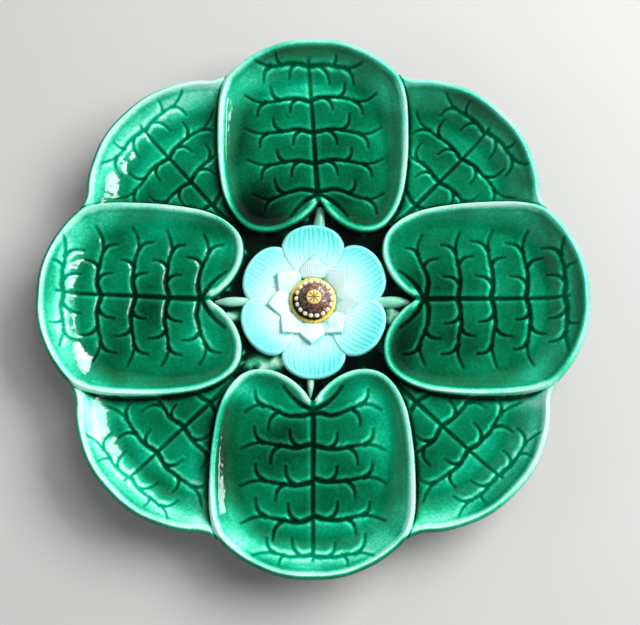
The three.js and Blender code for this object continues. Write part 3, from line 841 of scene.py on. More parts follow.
# Zones, in millimetres from the plate's middle, from a pad's edge, from a valley's middle, and by depth.
rim_zone, flower_zone, wall_zone = (97, 106), (85, 100), (86, 96, 105, 111)
flank_zone, valley_zone = (0.3, 1.2), (0.5, 4.5)
groove_brush, deep_groove, groove_side = 0.3, (0.5, 0.95), (0.3, 0.6)
near_rim = eased(plate_r, *rim_zone)
near_flower = 1 - eased(plate_r, *flower_zone)
soft_depth = -softened(carving, groove_brush, plate_spacing)
groove = eased(soft_depth, *deep_groove) * blend(1, rim_groove_share, near_rim)
limit = blend(1, blend(groove_limit, rim_groove_limit, near_rim), eased(-carving, *groove_side))
glaze -= wall_thinness * band(plate_r, *wall_zone)
# Painted shade and thicker glaze: a dark line on the flank just outside a front pad's crest.
glaze += flank_glaze_and_shade * (1 - eased(from_rim, *flank_zone)) * near_flower
glaze -= inner_wall_thinness * bump_at(from_rim, inner_wall_place, inner_wall_spread) * near_flower
for valley in np.radians(22.5 + 45 * np.arange(lobe_count)):
    from_valley = np.hypot(plate_x - valley_place * np.cos(valley), plate_y - valley_place * np.sin(valley))
    glaze -= valley_thinness * (1 - eased(from_valley, *valley_zone))
glaze = np.clip(glaze + groove_thickness * groove, 0, limit)
glaze -= back_pad_thinness * on_back_pad
print("glaze with walls and lips", np.percentile(glaze[on_plate], [2, 50, 98]).round(2))

# %% [markdown]
# No rule knows how a glaze was brushed on, or how the plate lay in the kiln. The outer walls get painted light
# and shade: paler on the left and below, where they face the window, and darker opposite, where they face
# away.
# The other runs and thin spots are soft ovals, placed one by one, and some of them are painted shade or
# painted light too. On the dark ground between the pads, thin spots let the clay shine through.

# %% Runs, thin spots, and painted light and shade
# Painted light and shade on the outer walls: how much, and the limits for the darkest and the palest.
wall_light_and_shade, deepest_wall_shade, brightest_wall_light = 0.3, 0.14, -0.12
shaded_wall_zone = (97, 111)
# Painted shade on the lip's outer fall away from the window: how dark, the brush, the zone and the sides.
lip_fall_shade = 0.6
edge_brush, edge_zone, away_from_window = 1.2, (0.81, 0.965), (-0.3, 0.35)
# Each: x, y, half length, half width, turn in degrees, and by how much the glaze is thicker or thinner. Some
# are painted shade on rims and walls turned away from the light, and some painted light on walls in shade.
glaze_runs_and_painted_shading = [
    (-24, 42, 11, 9, 40, 0.42), (38, -20, 14, 8, 70, 0.16), (-14, -57, 13, 11, 0, 0.2),
    (-38, 28, 8, 7, 0, 0.1), (-68, -4, 17, 10, 0, 0.08), (-20, -69, 12, 8, 0, 0.12),
    (-12, -60, 14, 9, 0, 0.06), (52, 2, 14, 24, 0, 0.1), (2, 58, 22, 20, 0, 0.13), (6, 72, 16, 8, 0, 0.04),
    (54, 54, 15, 14, 0, 0.1), (-53, 51, 14, 8, -45, 0.17), (-53, -50, 12, 12, 0, 0.15),
    (12, 45, 8, 6, 0, 0.12), (-15, 32, 16, 5, -14, 0.3), (18, 32, 12, 5, 12, 0.16),
    (68, 60, 8, 18, 45, 0.16), (-75, -18, 12, 8, 0, 0.1), (60, -16, 8, 8, 0, 0.1),
    (-88, -34, 10, 6, 0, 0.1), (-78, 34, 18, 6, 0, -0.2), (-40, 22, 8, 6, 0, -0.22),
    (-50, -16, 8, 7, 0, -0.16), (-22, 72, 5, 18, 0, -0.15), (31, 75, 6, 18, 0, -0.2),
    (-12, 98, 16, 6, 0, -0.12), (-42, 74, 4, 16, 0, -0.22), (42, 74, 4, 14, 0, -0.2),
    (80, -44, 16, 4, 0, -0.28), (-29, -39, 8, 5, 0, -0.28), (29, -62, 8, 19, 0, -0.24),
    (23, -40, 9, 7, 0, -0.18), (-38, -69, 4, 21, 0, 0.32), (14, -94, 18, 8, 0, -0.14),
    (-46, -79, 5, 14, 20, -0.22), (75, -31, 12, 5, 0, -0.15), (82, 8, 7, 20, 0, -0.1),
    (-100, -4, 5, 26, 0, -0.1), (-74, -55, 8, 20, -45, 0.1), (-30, 24, 12, 5, -20, -0.1),
    (56, 33, 14, 6, 0, -0.1), (84, 25, 8, 6, 0, -0.08), (-62, 84, 20, 5, 27, -0.12),
    (47, -62, 5, 12, 0, 0.14), (109, 3, 4, 14, 0, -0.15),
]
thin_ground = [
    (-14.5, -27.5, 5, 3.4, 0, -1.0), (-24, -27, 9, 4.6, 14, -0.55), (32.5, -6.8, 4.6, 5.4, 20, -1.2),
    (-3, 35.5, 2.6, 2.4, 0, -0.7), (5.5, 35, 1.6, 2.6, 0, -0.6), (28, -18, 4, 6, 35, -0.7),
    (-33, -7, 4, 2.6, 0, -0.8),
]
upper_right = (0.8 * plate_x + 0.65 * plate_y) / np.maximum(plate_r, 1)
# Painted light and shade: the outer walls darker at the upper right, away from the window, paler on the left
# and below.
glaze += np.clip(wall_light_and_shade * eased(plate_r, *shaded_wall_zone) * upper_right, brightest_wall_light, deepest_wall_shade)
# Outside the crest, on the sides away from the window, painted shade darkens the lip's outer fall.
inland = softened(np.where(on_plate | (plate_r < 100), 1.0, 0.0), edge_brush, plate_spacing)
glaze += lip_fall_shade * (1 - eased(inland, *edge_zone)) * (1 - eased(upper_right, *away_from_window))
for spots, where in ((glaze_runs_and_painted_shading, 1), (thin_ground, ~on_plate)):
    for x, y, half_length, half_width, degrees, change in spots:
        u, v = turned_in(plate_x - x, plate_y - y, degrees)
        glaze += change * where * np.exp(-((u / half_length) ** 2) - (v / half_width) ** 2)
print("glaze_runs_and_painted_shading", len(glaze_runs_and_painted_shading), "thin spots on the ground", len(thin_ground))

# %% [markdown]
# The flower's glazes are paler and thinner towards the heart. On the seed head, painted shade darkens the
# dome towards the lower left, away from the light, and painted light brightens it towards the upper right. A
# dark crescent lies at the dome's foot on the lower left, partly pooled glaze and partly painted shade. A last
# soft brush rounds every step, as melting does.
# The grooves' walls shade each other, so a second value tells the materials to let them mirror less of the
# room.

# %% Glaze on the flower and the seed head
flower_thickness = 0.57
flower_thinness = 0.42
petal_contrast = 0.85
head_thickness = 0.5
# Painted shade and light on the dome, and the dark crescent at its foot, partly pooled glaze and partly
# painted shade.
dome_light_and_shade = 0.035
dome_foot_shade_and_pool = 0.5
petal_brush, melting_brush = 0.6, 0.18
heart_zone, dome_zone, dome_foot_zone = (11, 33), (7.4, 8.4), (7.2, 7.6, 8.4, 9.0)
shaded_depth = (0.22, 0.45)
petal_hollow = softened(relief, petal_brush, plate_spacing) - relief
petal_flow = np.clip(petal_contrast * petal_hollow, -0.1, 0.3)
petal_glaze = flower_thickness + petal_flow - flower_thinness * (1 - eased(plate_r, *heart_zone))
glaze = np.where(in_flower, petal_glaze, glaze)
down_left = -(plate_x + plate_y) / math.sqrt(2)
# Painted shade and pooled glaze at the dome's foot, and painted light and shade across the dome, by the lower
# left.
dome_foot_darkening = dome_foot_shade_and_pool * band(plate_r, *dome_foot_zone) * eased(down_left, -2, 5)
head_glaze = head_thickness + dome_light_and_shade * down_left * (1 - eased(plate_r, *dome_zone)) + dome_foot_darkening
glaze = np.where(plate_r < collar_radius + 0.15, head_glaze, glaze)
glaze = softened(np.clip(glaze, 0, 1), melting_brush, plate_spacing)
in_groove = eased(soft_depth, *shaded_depth)
print("glaze on the pads", np.percentile(glaze[on_plate], [2, 25, 50, 75, 98]).round(2))

# %% [markdown]
# A mesh for a leaf is a stack of rings: rings that follow the edge first, so that the rim is crisp, then
# rings that shrink towards the middle. A skirt goes down from the edge, and a last point underneath closes
# the form.

# %% From rings to a closed mesh
pace_inset = 4.0


def skin(name, rings, middle, underneath):
    """Rings from the middle outwards and then down, anticlockwise from above, closed at both ends."""
    rings = np.asarray(rings, float)
    count = rings.shape[1]
    points = np.concatenate([[middle], rings.reshape(-1, 3), [underneath]]) * millimetre
    here = np.arange(count)
    after = (here + 1) % count
    top = np.stack([np.zeros(count, int), 1 + here, 1 + after], axis=1)
    starts = 1 + count * np.arange(len(rings) - 1)[:, None]
    sides = np.stack([starts + here, starts + count + here, starts + count + after, starts + after], axis=2)
    foot = 1 + (len(rings) - 1) * count
    bottom = np.stack([foot + here, np.full(count, len(points) - 1), foot + after], axis=1)
    mesh = bpy.data.meshes.new(name)
    mesh.from_pydata(points.tolist(), [], top.tolist() + sides.reshape(-1, 4).tolist() + bottom.tolist())
    return placed(name, mesh)


def placed(name, mesh):
    mesh.shade_smooth()
    piece = bpy.data.objects.new(name, mesh)
    scene.collection.objects.link(piece)
    return piece


def leaf_rings(leaf, count, edge_steps, steps):
    """Flat rings of a leaf, from its middle to its edge, spaced to suit edge and inside alike."""
    inner = grown(leaf.outline, -pace_inset)
    pace = np.linalg.norm(np.roll(inner, -1, axis=0) - inner, axis=1)
    own = np.linalg.norm(np.roll(leaf.outline, -1, axis=0) - leaf.outline, axis=1)
    outline = spaced(leaf.outline, count, 1 + pace / own)
    edges = [grown(outline, -step) for step in edge_steps]
    shares = np.linspace(0, 1, steps + 2)[1:-1]
    floors = [leaf.centre + (edges[0] - leaf.centre) * share for share in shares]
    return floors + edges


print("a small stack has", len(leaf_rings(straight_leaf, 60, [0.5, 0], 4)), "rings")

# %% [markdown]
# Every piece is finished in one way: it reads the glaze's thickness and the grooves from the grid, as two
# values on its points, and takes its material. Below, the pads and the blank have none of the relief's
# pools, because the glaze lies evenly on walls and undersides. Last, the piece is attached to the root, and
# the imported node that it stands for is hidden.

# %% Finishing a piece
dressed = []
even_below = 0.7
even_below_blank = 0.42


def finish_piece(piece, material, slot, *nodes):
    """Gives the piece its glaze and its place in the frame."""
    data = piece.data
    places = np.empty(len(data.vertices) * 3, np.float32)
    data.vertices.foreach_get("co", places)
    x, y, _ = places.reshape(-1, 3).T / millimetre
    thickness = read_grid(glaze, plate_low, plate_spacing, x, y)
    even = {emerald_glaze: even_below, ground_glaze: even_below_blank}.get(material)
    if even is not None:
        normals = np.empty(len(data.vertices) * 3, np.float32)
        data.vertex_normals.foreach_get("vector", normals)
        thickness = blend(even, thickness, eased(normals[2::3], -0.2, 0.2))
    in_a_groove = read_grid(in_groove, plate_low, plate_spacing, x, y)
    for key, values in (("glaze", thickness), ("groove", in_a_groove)):
        data.attributes.new(key, "FLOAT", "POINT").data.foreach_set("value", values.astype(np.float32))
    data.materials.clear()
    data.materials.append(material)
    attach(piece, "root")
    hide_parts(*nodes)
    dressed.append(piece)
    print(piece.name, len(data.polygons), "faces")


print("glaze below the pads", even_below, "and below the blank", even_below_blank)

# %% [markdown]
# The materials' trees are built in code, node by node, so that every value has a name and can be changed in
# one place. Two helpers keep that short. One turns a colour, as it looks on a screen, into the shader's own
# scale. The other adds a node, and links or sets its inputs.

# %% Colours from the screen to the shader
def linear(red, green, blue):
    """A colour as it looks on screen, 0 to 255, in the shader's own scale."""
    values = [value / 255 for value in (red, green, blue)]
    return [v / 12.92 if v <= 0.04045 else ((v + 0.055) / 1.055) ** 2.4 for v in values] + [1]


print("mid grey in the shader's scale", round(linear(128, 128, 128)[0], 3))

# %% A helper that adds nodes
class Wiring:
    """Adds nodes to a tree in few words: an input that is a socket gets linked, and any other gets set."""

    def node(self, kind, inputs, **settings):
        node = self.tree.nodes.new(kind)
        for key, value in settings.items():
            setattr(node, key, value)
        for key, value in inputs.items():
            if isinstance(value, bpy.types.NodeSocket):
                self.tree.links.new(value, node.inputs[key])
            else:
                node.inputs[key].default_value = value
        return node

    def add(self, kind, inputs, **settings):
        return self.node(kind, inputs, **settings).outputs

    def maths(self, operation, first, second=0.0):
        return self.add("ShaderNodeMath", {0: first, 1: second}, operation=operation)[0]

    def ranged(self, value, low, high, to_low, to_high):
        inputs = {"Value": value, "From Min": low, "From Max": high, "To Min": to_low, "To Max": to_high}
        return self.add("ShaderNodeMapRange", inputs)["Result"]


class Shading(Wiring):
    """A material's tree, with its shader and its patterns."""

    def __init__(self, name):
        self.material = bpy.data.materials.new(name)
        self.material.use_nodes = True
        self.tree = self.material.node_tree
        self.shader = self.tree.nodes["Principled BSDF"]
        self.place = self.add("ShaderNodeTexCoord", {})["Object"]

    def noise(self, scale, detail):
        inputs = {"Vector": self.place, "Scale": scale, "Detail": detail}
        return self.add("ShaderNodeTexNoise", inputs)["Fac"]

    def clouded(self, scale, detail, low, high):
        return self.ranged(self.noise(scale, detail), 0.3, 0.7, low, high)

    def attribute(self, name):
        return self.add("ShaderNodeAttribute", {}, attribute_name=name)["Fac"]

    def link(self, socket, name):
        self.tree.links.new(socket, self.shader.inputs[name])


print("helper for materials ready")

# %% [markdown]
# One recipe makes every glaze. The thickness attribute, stirred by slow clouds and a fine grain, runs
# through a ramp of colours from the thin edge to the deep pool. A sparse cell pattern adds pinholes, a slow
# ripple moves the reflections, and the shader is a smooth glass-like coat over it all.

# %% The glaze recipe
# Patterns for each metre: slow clouds, fine grain, pinholes, patches of another gloss, and two ripples.
cloud_scale, grain_scale, pinhole_scale, gloss_scale = 38, 900, 170, 140
long_ripple_scale, short_ripple_scale = 90, 330
short_ripple_share, pinhole_dip = 0.9, -1.5
ripple_height = 0.00012
glossiest, dullest = 0.05, 0.13
open_mirror, groove_mirror = 0.5, 0.03
lead_glass_index = 1.55
speck_colour = (0.02, 0.02, 0.02, 1)


def glaze_finish(name, stops, clouds=0.16, grain=0.08, pits=0.25, base_thickness=None):
    """stops: pairs of glaze thickness and the colour seen there."""
    recipe = Shading(name)
    thickness = recipe.attribute("glaze") if base_thickness is None else base_thickness
    slow = recipe.clouded(cloud_scale, 3, -clouds / 2, clouds / 2)
    fine = recipe.clouded(grain_scale, 2, -grain / 2, grain / 2)
    thickness = recipe.maths("ADD", recipe.maths("ADD", slow, fine), thickness)
    ramp = recipe.node("ShaderNodeValToRGB", {"Fac": thickness})
    elements = ramp.color_ramp.elements
    for element, (position, colour) in zip(elements, (stops[0], stops[-1])):
        element.position, element.color = position, linear(*colour)
    for position, colour in stops[1:-1]:
        elements.new(position).color = linear(*colour)
    cells = recipe.add("ShaderNodeTexVoronoi", {"Vector": recipe.place, "Scale": pinhole_scale})["Distance"]
    pinhole = recipe.ranged(cells, 0.04, 0.07, pits, 0)
    mixed = {"Factor": pinhole, 6: ramp.outputs["Color"], 7: speck_colour}
    recipe.link(recipe.add("ShaderNodeMix", mixed, data_type="RGBA")[2], "Base Color")
    mirror = recipe.ranged(recipe.attribute("groove"), 0, 1, open_mirror, groove_mirror)
    recipe.link(mirror, "Specular IOR Level")
    recipe.link(recipe.clouded(gloss_scale, 2, glossiest, dullest), "Roughness")
    short_ripple = recipe.maths("MULTIPLY", recipe.noise(short_ripple_scale, 1), short_ripple_share)
    swell = recipe.maths("ADD", recipe.noise(long_ripple_scale, 1), short_ripple)
    swell = recipe.maths("ADD", swell, recipe.maths("MULTIPLY", pinhole, pinhole_dip))
    bump = recipe.add("ShaderNodeBump", {"Strength": 1.0, "Distance": ripple_height, "Height": swell})
    recipe.link(bump["Normal"], "Normal")
    recipe.shader.inputs["IOR"].default_value = lead_glass_index
    return recipe.material


print("recipe ready, glass index", lead_glass_index)

# %% [markdown]
# Each glaze is a list of judged colours from thin to thick. The emerald of the pads goes from pale
# mint at a thin edge to nearly black in a deep pool. The ground between the pads has a darker green, and the
# flower's glazes follow the same idea. Stalks, beads, disc and rays are too small for the grid, so each of
# them has one even thickness.

# %% Colours of the glazes
emerald = [
    (0.0, (196, 248, 232)), (0.1, (136, 240, 212)), (0.2, (64, 216, 172)), (0.3, (12, 178, 132)),
    (0.4, (0, 142, 100)), (0.5, (0, 116, 76)), (0.6, (0, 92, 57)), (0.7, (0, 64, 38)), (0.8, (0, 40, 24)),
    (1.0, (3, 14, 10)),
]
ground_green = [
    (0.0, (200, 245, 225)), (0.2, (60, 170, 128)), (0.4, (3, 62, 40)), (0.6, (3, 24, 17)), (1.0, (2, 9, 7)),
]
turquoise = [
    (0.0, (244, 255, 254)), (0.2, (222, 255, 251)), (0.35, (190, 252, 247)), (0.48, (146, 244, 239)),
    (0.6, (104, 230, 226)), (0.75, (56, 196, 196)), (1.0, (14, 96, 98)),
]
white = [(0.0, (230, 250, 247)), (0.25, (212, 247, 243)), (0.45, (176, 238, 234)), (0.8, (110, 190, 192))]
mint = [(0.0, (232, 252, 244)), (0.4, (190, 240, 220)), (0.65, (126, 214, 180)), (1.0, (20, 90, 60))]
yellow = [
    (0.0, (254, 250, 226)), (0.3, (252, 240, 170)), (0.5, (248, 222, 112)), (0.72, (228, 180, 66)),
    (0.86, (96, 54, 16)), (1.0, (30, 14, 6)),
]
brown = [
    (0.0, (190, 160, 130)), (0.3, (152, 110, 100)), (0.5, (114, 74, 66)), (0.75, (66, 38, 32)),
    (1.0, (26, 12, 8)),
]
cream = [(0.0, (255, 250, 226)), (0.5, (255, 242, 205)), (1.0, (225, 190, 130))]
rust = [(0.0, (190, 120, 20)), (0.5, (136, 74, 8)), (1.0, (84, 40, 6))]

emerald_glaze = glaze_finish("emerald_glaze", emerald, clouds=0.22)
ground_glaze = glaze_finish("dark_green_glaze", ground_green, clouds=0.25)
turquoise_glaze = glaze_finish("turquoise_glaze", turquoise, clouds=0.16, grain=0.03, pits=0.35)
white_glaze = glaze_finish("white_glaze", white, clouds=0.08, grain=0.02, pits=0.2)
mint_glaze = glaze_finish("mint_glaze", mint, clouds=0.5, base_thickness=0.58)
yellow_glaze = glaze_finish("yellow_glaze", yellow, clouds=0.12, grain=0.22)
brown_glaze = glaze_finish("brown_glaze", brown, clouds=0.2, grain=0.8)
disc_glaze = glaze_finish("disc_glaze", yellow[:4], clouds=0.1, grain=0.3, base_thickness=0.42)
cream_glaze = glaze_finish("cream_glaze", cream, clouds=0.5, grain=0.1, base_thickness=0.4)
rust_glaze = glaze_finish("rust_glaze", rust, clouds=0.4, base_thickness=0.5)
print("glazes", len([m for m in bpy.data.materials if m.name.endswith("_glaze")]))

# %% [markdown]
# The front pads come first. The skirt turns in under the lip where a pad hangs over the blank's edge, so the
# plate's rim looks like one rounded edge from the side.

# %% Front pads
rim_steps = [3.6, 3.2, 2.8, 2.45, 2.1, 1.8, 1.5, 1.2, 0.9, 0.65, 0.42, 0.22, 0.08, 0]
pad_ring_points, pad_floor_rings = 560, 82
seat_sink = 0.35
seat_limit = body_lobe_radius - 0.6
sole_shares = [1, 0.94, 0.88, 0.82, 0.76, 0.7, 0.6, 0.45, 0.25]


def seat_level(radius):
    return body_top(np.minimum(radius, seat_limit)) - seat_sink


def skirt(edge, centre):
    """Rings below the edge: a rounded turn, then the seat, which follows the blank's own dish inwards."""
    radius = np.hypot(edge[:, 0], edge[:, 1])
    seat = edge[:, :2] * np.minimum(1, seat_limit / radius)[:, None]
    turn = blend(edge[:, :2], seat, 0.12)
    rings = [np.column_stack([turn, blend(seat_level(radius), edge[:, 2], 0.6)])]
    for share in sole_shares:
        flat = centre + (seat - centre) * share
        rings.append(np.column_stack([flat, seat_level(np.hypot(*flat.T))]))
    return rings


def closed_leaf(name, degrees, rings, middle, sole):
    """Turns the rings to their place on the plate, and closes them above and below."""
    ends = [to_plate(np.array([point]), degrees)[0] for point in (middle, sole)]
    return skin(name + "_glazed", [to_plate(ring, degrees) for ring in rings], *ends)


def pad_piece(name, degrees, leaf, flat_rings, centre):
    """A pad from flat rings round its centre, finished."""
    heights = pad_heights[name]
    rings = [leaf.raised(flat, heights) for flat in flat_rings]
    rings += skirt(rings[-1], centre)
    sole = (*centre, body_top(centre[0]) - seat_sink)
    piece = closed_leaf(name, degrees, rings, leaf.raised(centre, heights)[0], sole)
    finish_piece(piece, emerald_glaze, "green_glaze", name)


for name, degrees, leaf, *_ in front_pads:
    flat_rings = leaf_rings(leaf, pad_ring_points, rim_steps, pad_floor_rings)
    pad_piece(name, degrees, leaf, flat_rings, leaf.centre)

# %% [markdown]
# A back pad is only what shows between its two neighbours and the edge. Spokes from one point inside it are
# followed outwards until they meet a neighbour or the edge, which gives its outline whatever the shape is.

# %% Back pads
spoke_centre = np.array([86.0, 0.0])
spoke_count = 520
spoke_steps = 84
spoke_reach = 62


def back_outline(degrees, leaf):
    """The visible part's edge, along spokes in the pad's own axes."""
    angles = np.linspace(0, 2 * math.pi, spoke_count, endpoint=False)
    reach = np.arange(1, spoke_reach, 0.04)
    u = spoke_centre[0] + np.cos(angles)[:, None] * reach
    v = np.sin(angles)[:, None] * reach
    x, y = turned_in(u, v, -degrees)
    out = ~back_pad_covers(x, y, degrees, leaf)
    last = reach[np.argmax(out, axis=1)]
    return spoke_centre + np.stack([np.cos(angles), np.sin(angles)], axis=1) * last[:, None]


for name, degrees, leaf, *_ in back_pads:
    outline = back_outline(degrees, leaf)
    shares = np.linspace(0, 1, spoke_steps + 1)[1:]
    flat_rings = [spoke_centre + (outline - spoke_centre) * share for share in shares]
    pad_piece(name, degrees, leaf, flat_rings, spoke_centre)

# %% [markdown]
# The petals follow, with the same rings. A petal's edge is thin and stands upright, so two rings below it
# are enough, a little wider than the edge, so that nothing shows a gap. The petals underneath go first.

# %% Outer and inner petals
petal_rim_steps = [1.4, 1.1, 0.85, 0.6, 0.4, 0.22, 0.08, 0]
petal_foot_spread = (0.1, 0.12)
outer_petal_sink, inner_petal_lift = 0.2, 0.8
# Points on each ring, and rings between the middle and the rim.
outer_petal_mesh, inner_petal_mesh = (260, 66), (150, 24)


def petal_piece(name, leaf, heights, degrees, foot, count, steps):
    """foot: the height of the petal's underside."""
    rings = [leaf.raised(flat, heights) for flat in leaf_rings(leaf, count, petal_rim_steps, steps)]
    edge = rings[-1]
    for spread, share in zip(petal_foot_spread, (0.55, 0)):
        rings.append(np.column_stack([grown(edge[:, :2], spread), blend(foot, edge[:, 2], share)]))
    return closed_leaf(name, degrees, rings, leaf.raised(leaf.centre, heights)[0], (*leaf.centre, foot))


for name, degrees, *_ in outer_petals:
    leaf, heights = petal_leaves[name], petal_heights[name]
    piece = petal_piece(name, leaf, heights, degrees, well_top - outer_petal_sink, *outer_petal_mesh)
    finish_piece(piece, turquoise_glaze, "turquoise_glaze", name)
for index, degrees in enumerate(inner_petal_degrees):
    name = f"inner_petal_{index + 1}"
    foot = well_top + inner_petal_lift
    piece = petal_piece(name, inner_leaf, inner_heights, degrees, foot, *inner_petal_mesh)
    finish_piece(piece, white_glaze, "white_glaze", name)

# %% [markdown]
# Geometry Nodes make what follows a rule. The first tree is a potter's wheel: it turns a profile about the
# plate's axis, and a wave of so many lobes may pull the outer edge in. It makes the blank with its eight
# scallops, the foot ring, the fluted collar, the dome and the small disc. The profile is the object's own
# mesh, and the wheel reads it point by point.

# %% A helper for geometry trees
class Recipe(Wiring):
    """A geometry tree with named sizes, and the way to run it on a mesh."""

    def __init__(self, name):
        self.tree = bpy.data.node_groups.new(name, "GeometryNodeTree")
        for way in ("INPUT", "OUTPUT"):
            self.tree.interface.new_socket("Geometry", in_out=way, socket_type="NodeSocketGeometry")
        self.start = self.tree.nodes.new("NodeGroupInput")
        self.end = self.tree.nodes.new("NodeGroupOutput")
        self.geometry = self.start.outputs["Geometry"]

    def sizes(self, kind, *names):
        for name in names:
            self.tree.interface.new_socket(name, in_out="INPUT", socket_type="NodeSocket" + kind)
        return [self.start.outputs[name] for name in names]

    def position(self):
        return self.add("GeometryNodeInputPosition", {})[0]

    def apart(self, vector):
        return self.add("ShaderNodeSeparateXYZ", {0: vector})

    def together(self, **parts):
        return self.add("ShaderNodeCombineXYZ", parts)[0]

    def close(self, geometry):
        """Every tree ends the same way: real geometry, with its material."""
        real = self.add("GeometryNodeRealizeInstances", {"Geometry": geometry})[0]
        smooth = self.add("GeometryNodeSetShadeSmooth", {"Geometry": real})[0]
        glaze_input = self.sizes("Material", "Glaze")[0]
        made = self.add("GeometryNodeSetMaterial", {"Geometry": smooth, "Material": glaze_input})[0]
        self.tree.links.new(made, self.end.inputs["Geometry"])

    def run(self, name, mesh, sizes):
        """The result is a plain mesh on an object at the origin."""
        piece = bpy.data.objects.new(name, mesh)
        scene.collection.objects.link(piece)
        modifier = piece.modifiers.new(self.tree.name, "NODES")
        modifier.node_group = self.tree
        for item in self.tree.interface.items_tree:
            if item.in_out == "INPUT" and item.name in sizes:
                modifier[item.identifier] = sizes[item.name]
        seen = piece.evaluated_get(bpy.context.evaluated_depsgraph_get())
        result = bpy.data.meshes.new_from_object(seen)
        piece.modifiers.clear()
        piece.data = result
        return piece


print("helper for geometry trees ready")

# %% The potter's wheel
smallest_gap = 0.000002


def wheel_tree():
    wheel = Recipe("potters_wheel")
    segments, lobes = wheel.sizes("Int", "Segments", "Lobes")
    wave_depth, fullness = wheel.sizes("Float", "Wave Depth", "Fullness")
    wave_from, wave_to = wheel.sizes("Float", "Wave From", "Wave To")
    count = wheel.add("GeometryNodeAttributeDomainSize", {"Geometry": wheel.geometry})["Point Count"]
    columns = wheel.maths("ADD", segments, 1)
    grid = wheel.add("GeometryNodeMeshGrid", {"Vertices X": columns, "Vertices Y": count})["Mesh"]
    cell = wheel.apart(wheel.position())
    angle = wheel.maths("MULTIPLY", wheel.maths("ADD", cell["X"], 0.5), 2 * math.pi)
    row = wheel.maths("MULTIPLY", wheel.maths("ADD", cell["Y"], 0.5), wheel.maths("SUBTRACT", count, 1))
    row = wheel.maths("ROUND", row)
    asked = {"Geometry": wheel.geometry, "Value": wheel.position(), "Index": row}
    point = wheel.apart(wheel.add("GeometryNodeSampleIndex", asked, data_type="FLOAT_VECTOR")[0])
    # The lobes: half a wave, made fuller by its first overtone, and zero at the top of a lobe.
    phase = wheel.maths("MULTIPLY", angle, lobes)
    base = wheel.maths("MULTIPLY", wheel.maths("SUBTRACT", wheel.maths("COSINE", phase), 1), 0.5)
    double = wheel.maths("COSINE", wheel.maths("MULTIPLY", phase, 2))
    over = wheel.maths("MULTIPLY", wheel.maths("SUBTRACT", 1, double), fullness)
    wave = wheel.maths("MULTIPLY", wheel.maths("ADD", base, over), wave_depth)
    fading = {"Value": point["X"], "From Min": wave_from, "From Max": wave_to}
    hold = wheel.add("ShaderNodeMapRange", fading, interpolation_type="SMOOTHSTEP")["Result"]
    radius = wheel.maths("ADD", point["X"], wheel.maths("MULTIPLY", wave, hold))
    x, y = (wheel.maths("MULTIPLY", radius, wheel.maths(way, angle)) for way in ("COSINE", "SINE"))
    turned = wheel.together(X=x, Y=y, Z=point["Z"])
    shaped = wheel.add("GeometryNodeSetPosition", {"Geometry": grid, "Position": turned})[0]
    joined = wheel.add("GeometryNodeMergeByDistance", {"Geometry": shaped, "Distance": smallest_gap})[0]
    wheel.close(joined)
    return wheel


potters_wheel = wheel_tree()


def thrown(name, profile, segments, material, lobes=0, wave_depth=0, fullness=0, fades=(200, 201)):
    """profile: radius and height in millimetres, from the axis below to the axis above."""
    mesh = bpy.data.meshes.new(name)
    points = [(radius * millimetre, 0, height * millimetre) for radius, height in profile]
    mesh.from_pydata(points, [(k, k + 1) for k in range(len(points) - 1)], [])
    return potters_wheel.run(name, mesh, {
        "Segments": segments,
        "Lobes": lobes,
        "Wave Depth": wave_depth * millimetre,
        "Fullness": fullness,
        "Wave From": fades[0] * millimetre,
        "Wave To": fades[1] * millimetre,
        "Glaze": material,
    })


print("wheel", len(potters_wheel.tree.nodes), "nodes")

# %% [markdown]
# The blank is the round, scalloped dish under all the pads. Its profile is flat in the well, climbs like the
# pads and ends in a rounded edge. The wheel's wave pulls that edge in between the lobes, and fades out on
# the way to the well. The foot is a low ring with rounded corners.

# %% The blank and its foot
blank_segments, foot_segments = 480, 240
edge_radius = 111.8
scallop_fades = (84, 110)
foot_join = 0.2


def body_underside(radius):
    out = np.clip((radius - well_radius) / (body_lobe_radius - well_radius), 0, 1)
    well_thickness = body_top(well_radius) - foot_height
    return body_top(radius) - blend(well_thickness, body_edge_thickness, out)


def body_profile():
    edge_round = body_edge_thickness / 2
    radii = np.concatenate([np.linspace(2, well_radius, 16), np.linspace(well_radius, edge_radius, 46)[1:]])
    below = [(0, foot_height)]
    below += [(r, float(body_underside(r)) if r > well_radius else foot_height) for r in radii]
    middle = float(body_top(edge_radius) + body_underside(edge_radius)) / 2
    nose = [
        (edge_radius + edge_round * math.cos(a), middle + edge_round * math.sin(a))
        for a in np.radians([-60, -30, 0, 30, 60])
    ]
    above = [(r, float(body_top(r)) if r > pad_inner_radius else well_top) for r in radii[::-1]]
    return below + nose + above + [(0, well_top)]


body = thrown(
    "plate_body_glazed", body_profile(), blank_segments, ground_glaze, lobe_count,
    body_lobe_radius - junction_radius, scallop_fullness_share, scallop_fades,
)
finish_piece(body, ground_glaze, "ground_glaze", "plate_body")
foot_inner = foot_outer_radius - foot_width
foot_top = foot_height + foot_join
rounding = [
    (foot_chamfer * (1 - math.cos(a)), foot_chamfer * (1 - math.sin(a))) for a in np.radians([0, 30, 60, 90])
]
foot_profile = [(foot_inner, foot_top)]
foot_profile += [(foot_inner + a, b) for a, b in rounding]
foot_profile += [(foot_outer_radius - a, b) for a, b in rounding[::-1]]
foot_profile += [(foot_outer_radius, foot_top), (foot_inner, foot_top)]
foot = thrown("foot_ring_glazed", foot_profile, foot_segments, ground_glaze)
finish_piece(foot, ground_glaze, "ground_glaze", "foot_ring")

# %% [markdown]
# The seed head is a pile of turned forms: a yellow collar with a fluted edge, a brown dome and a small
# yellow disc. They come from the same wheel, where a wave with many lobes gives the flutes. The dome and all
# on it were set a little to the right, so more of the collar shows on the left.

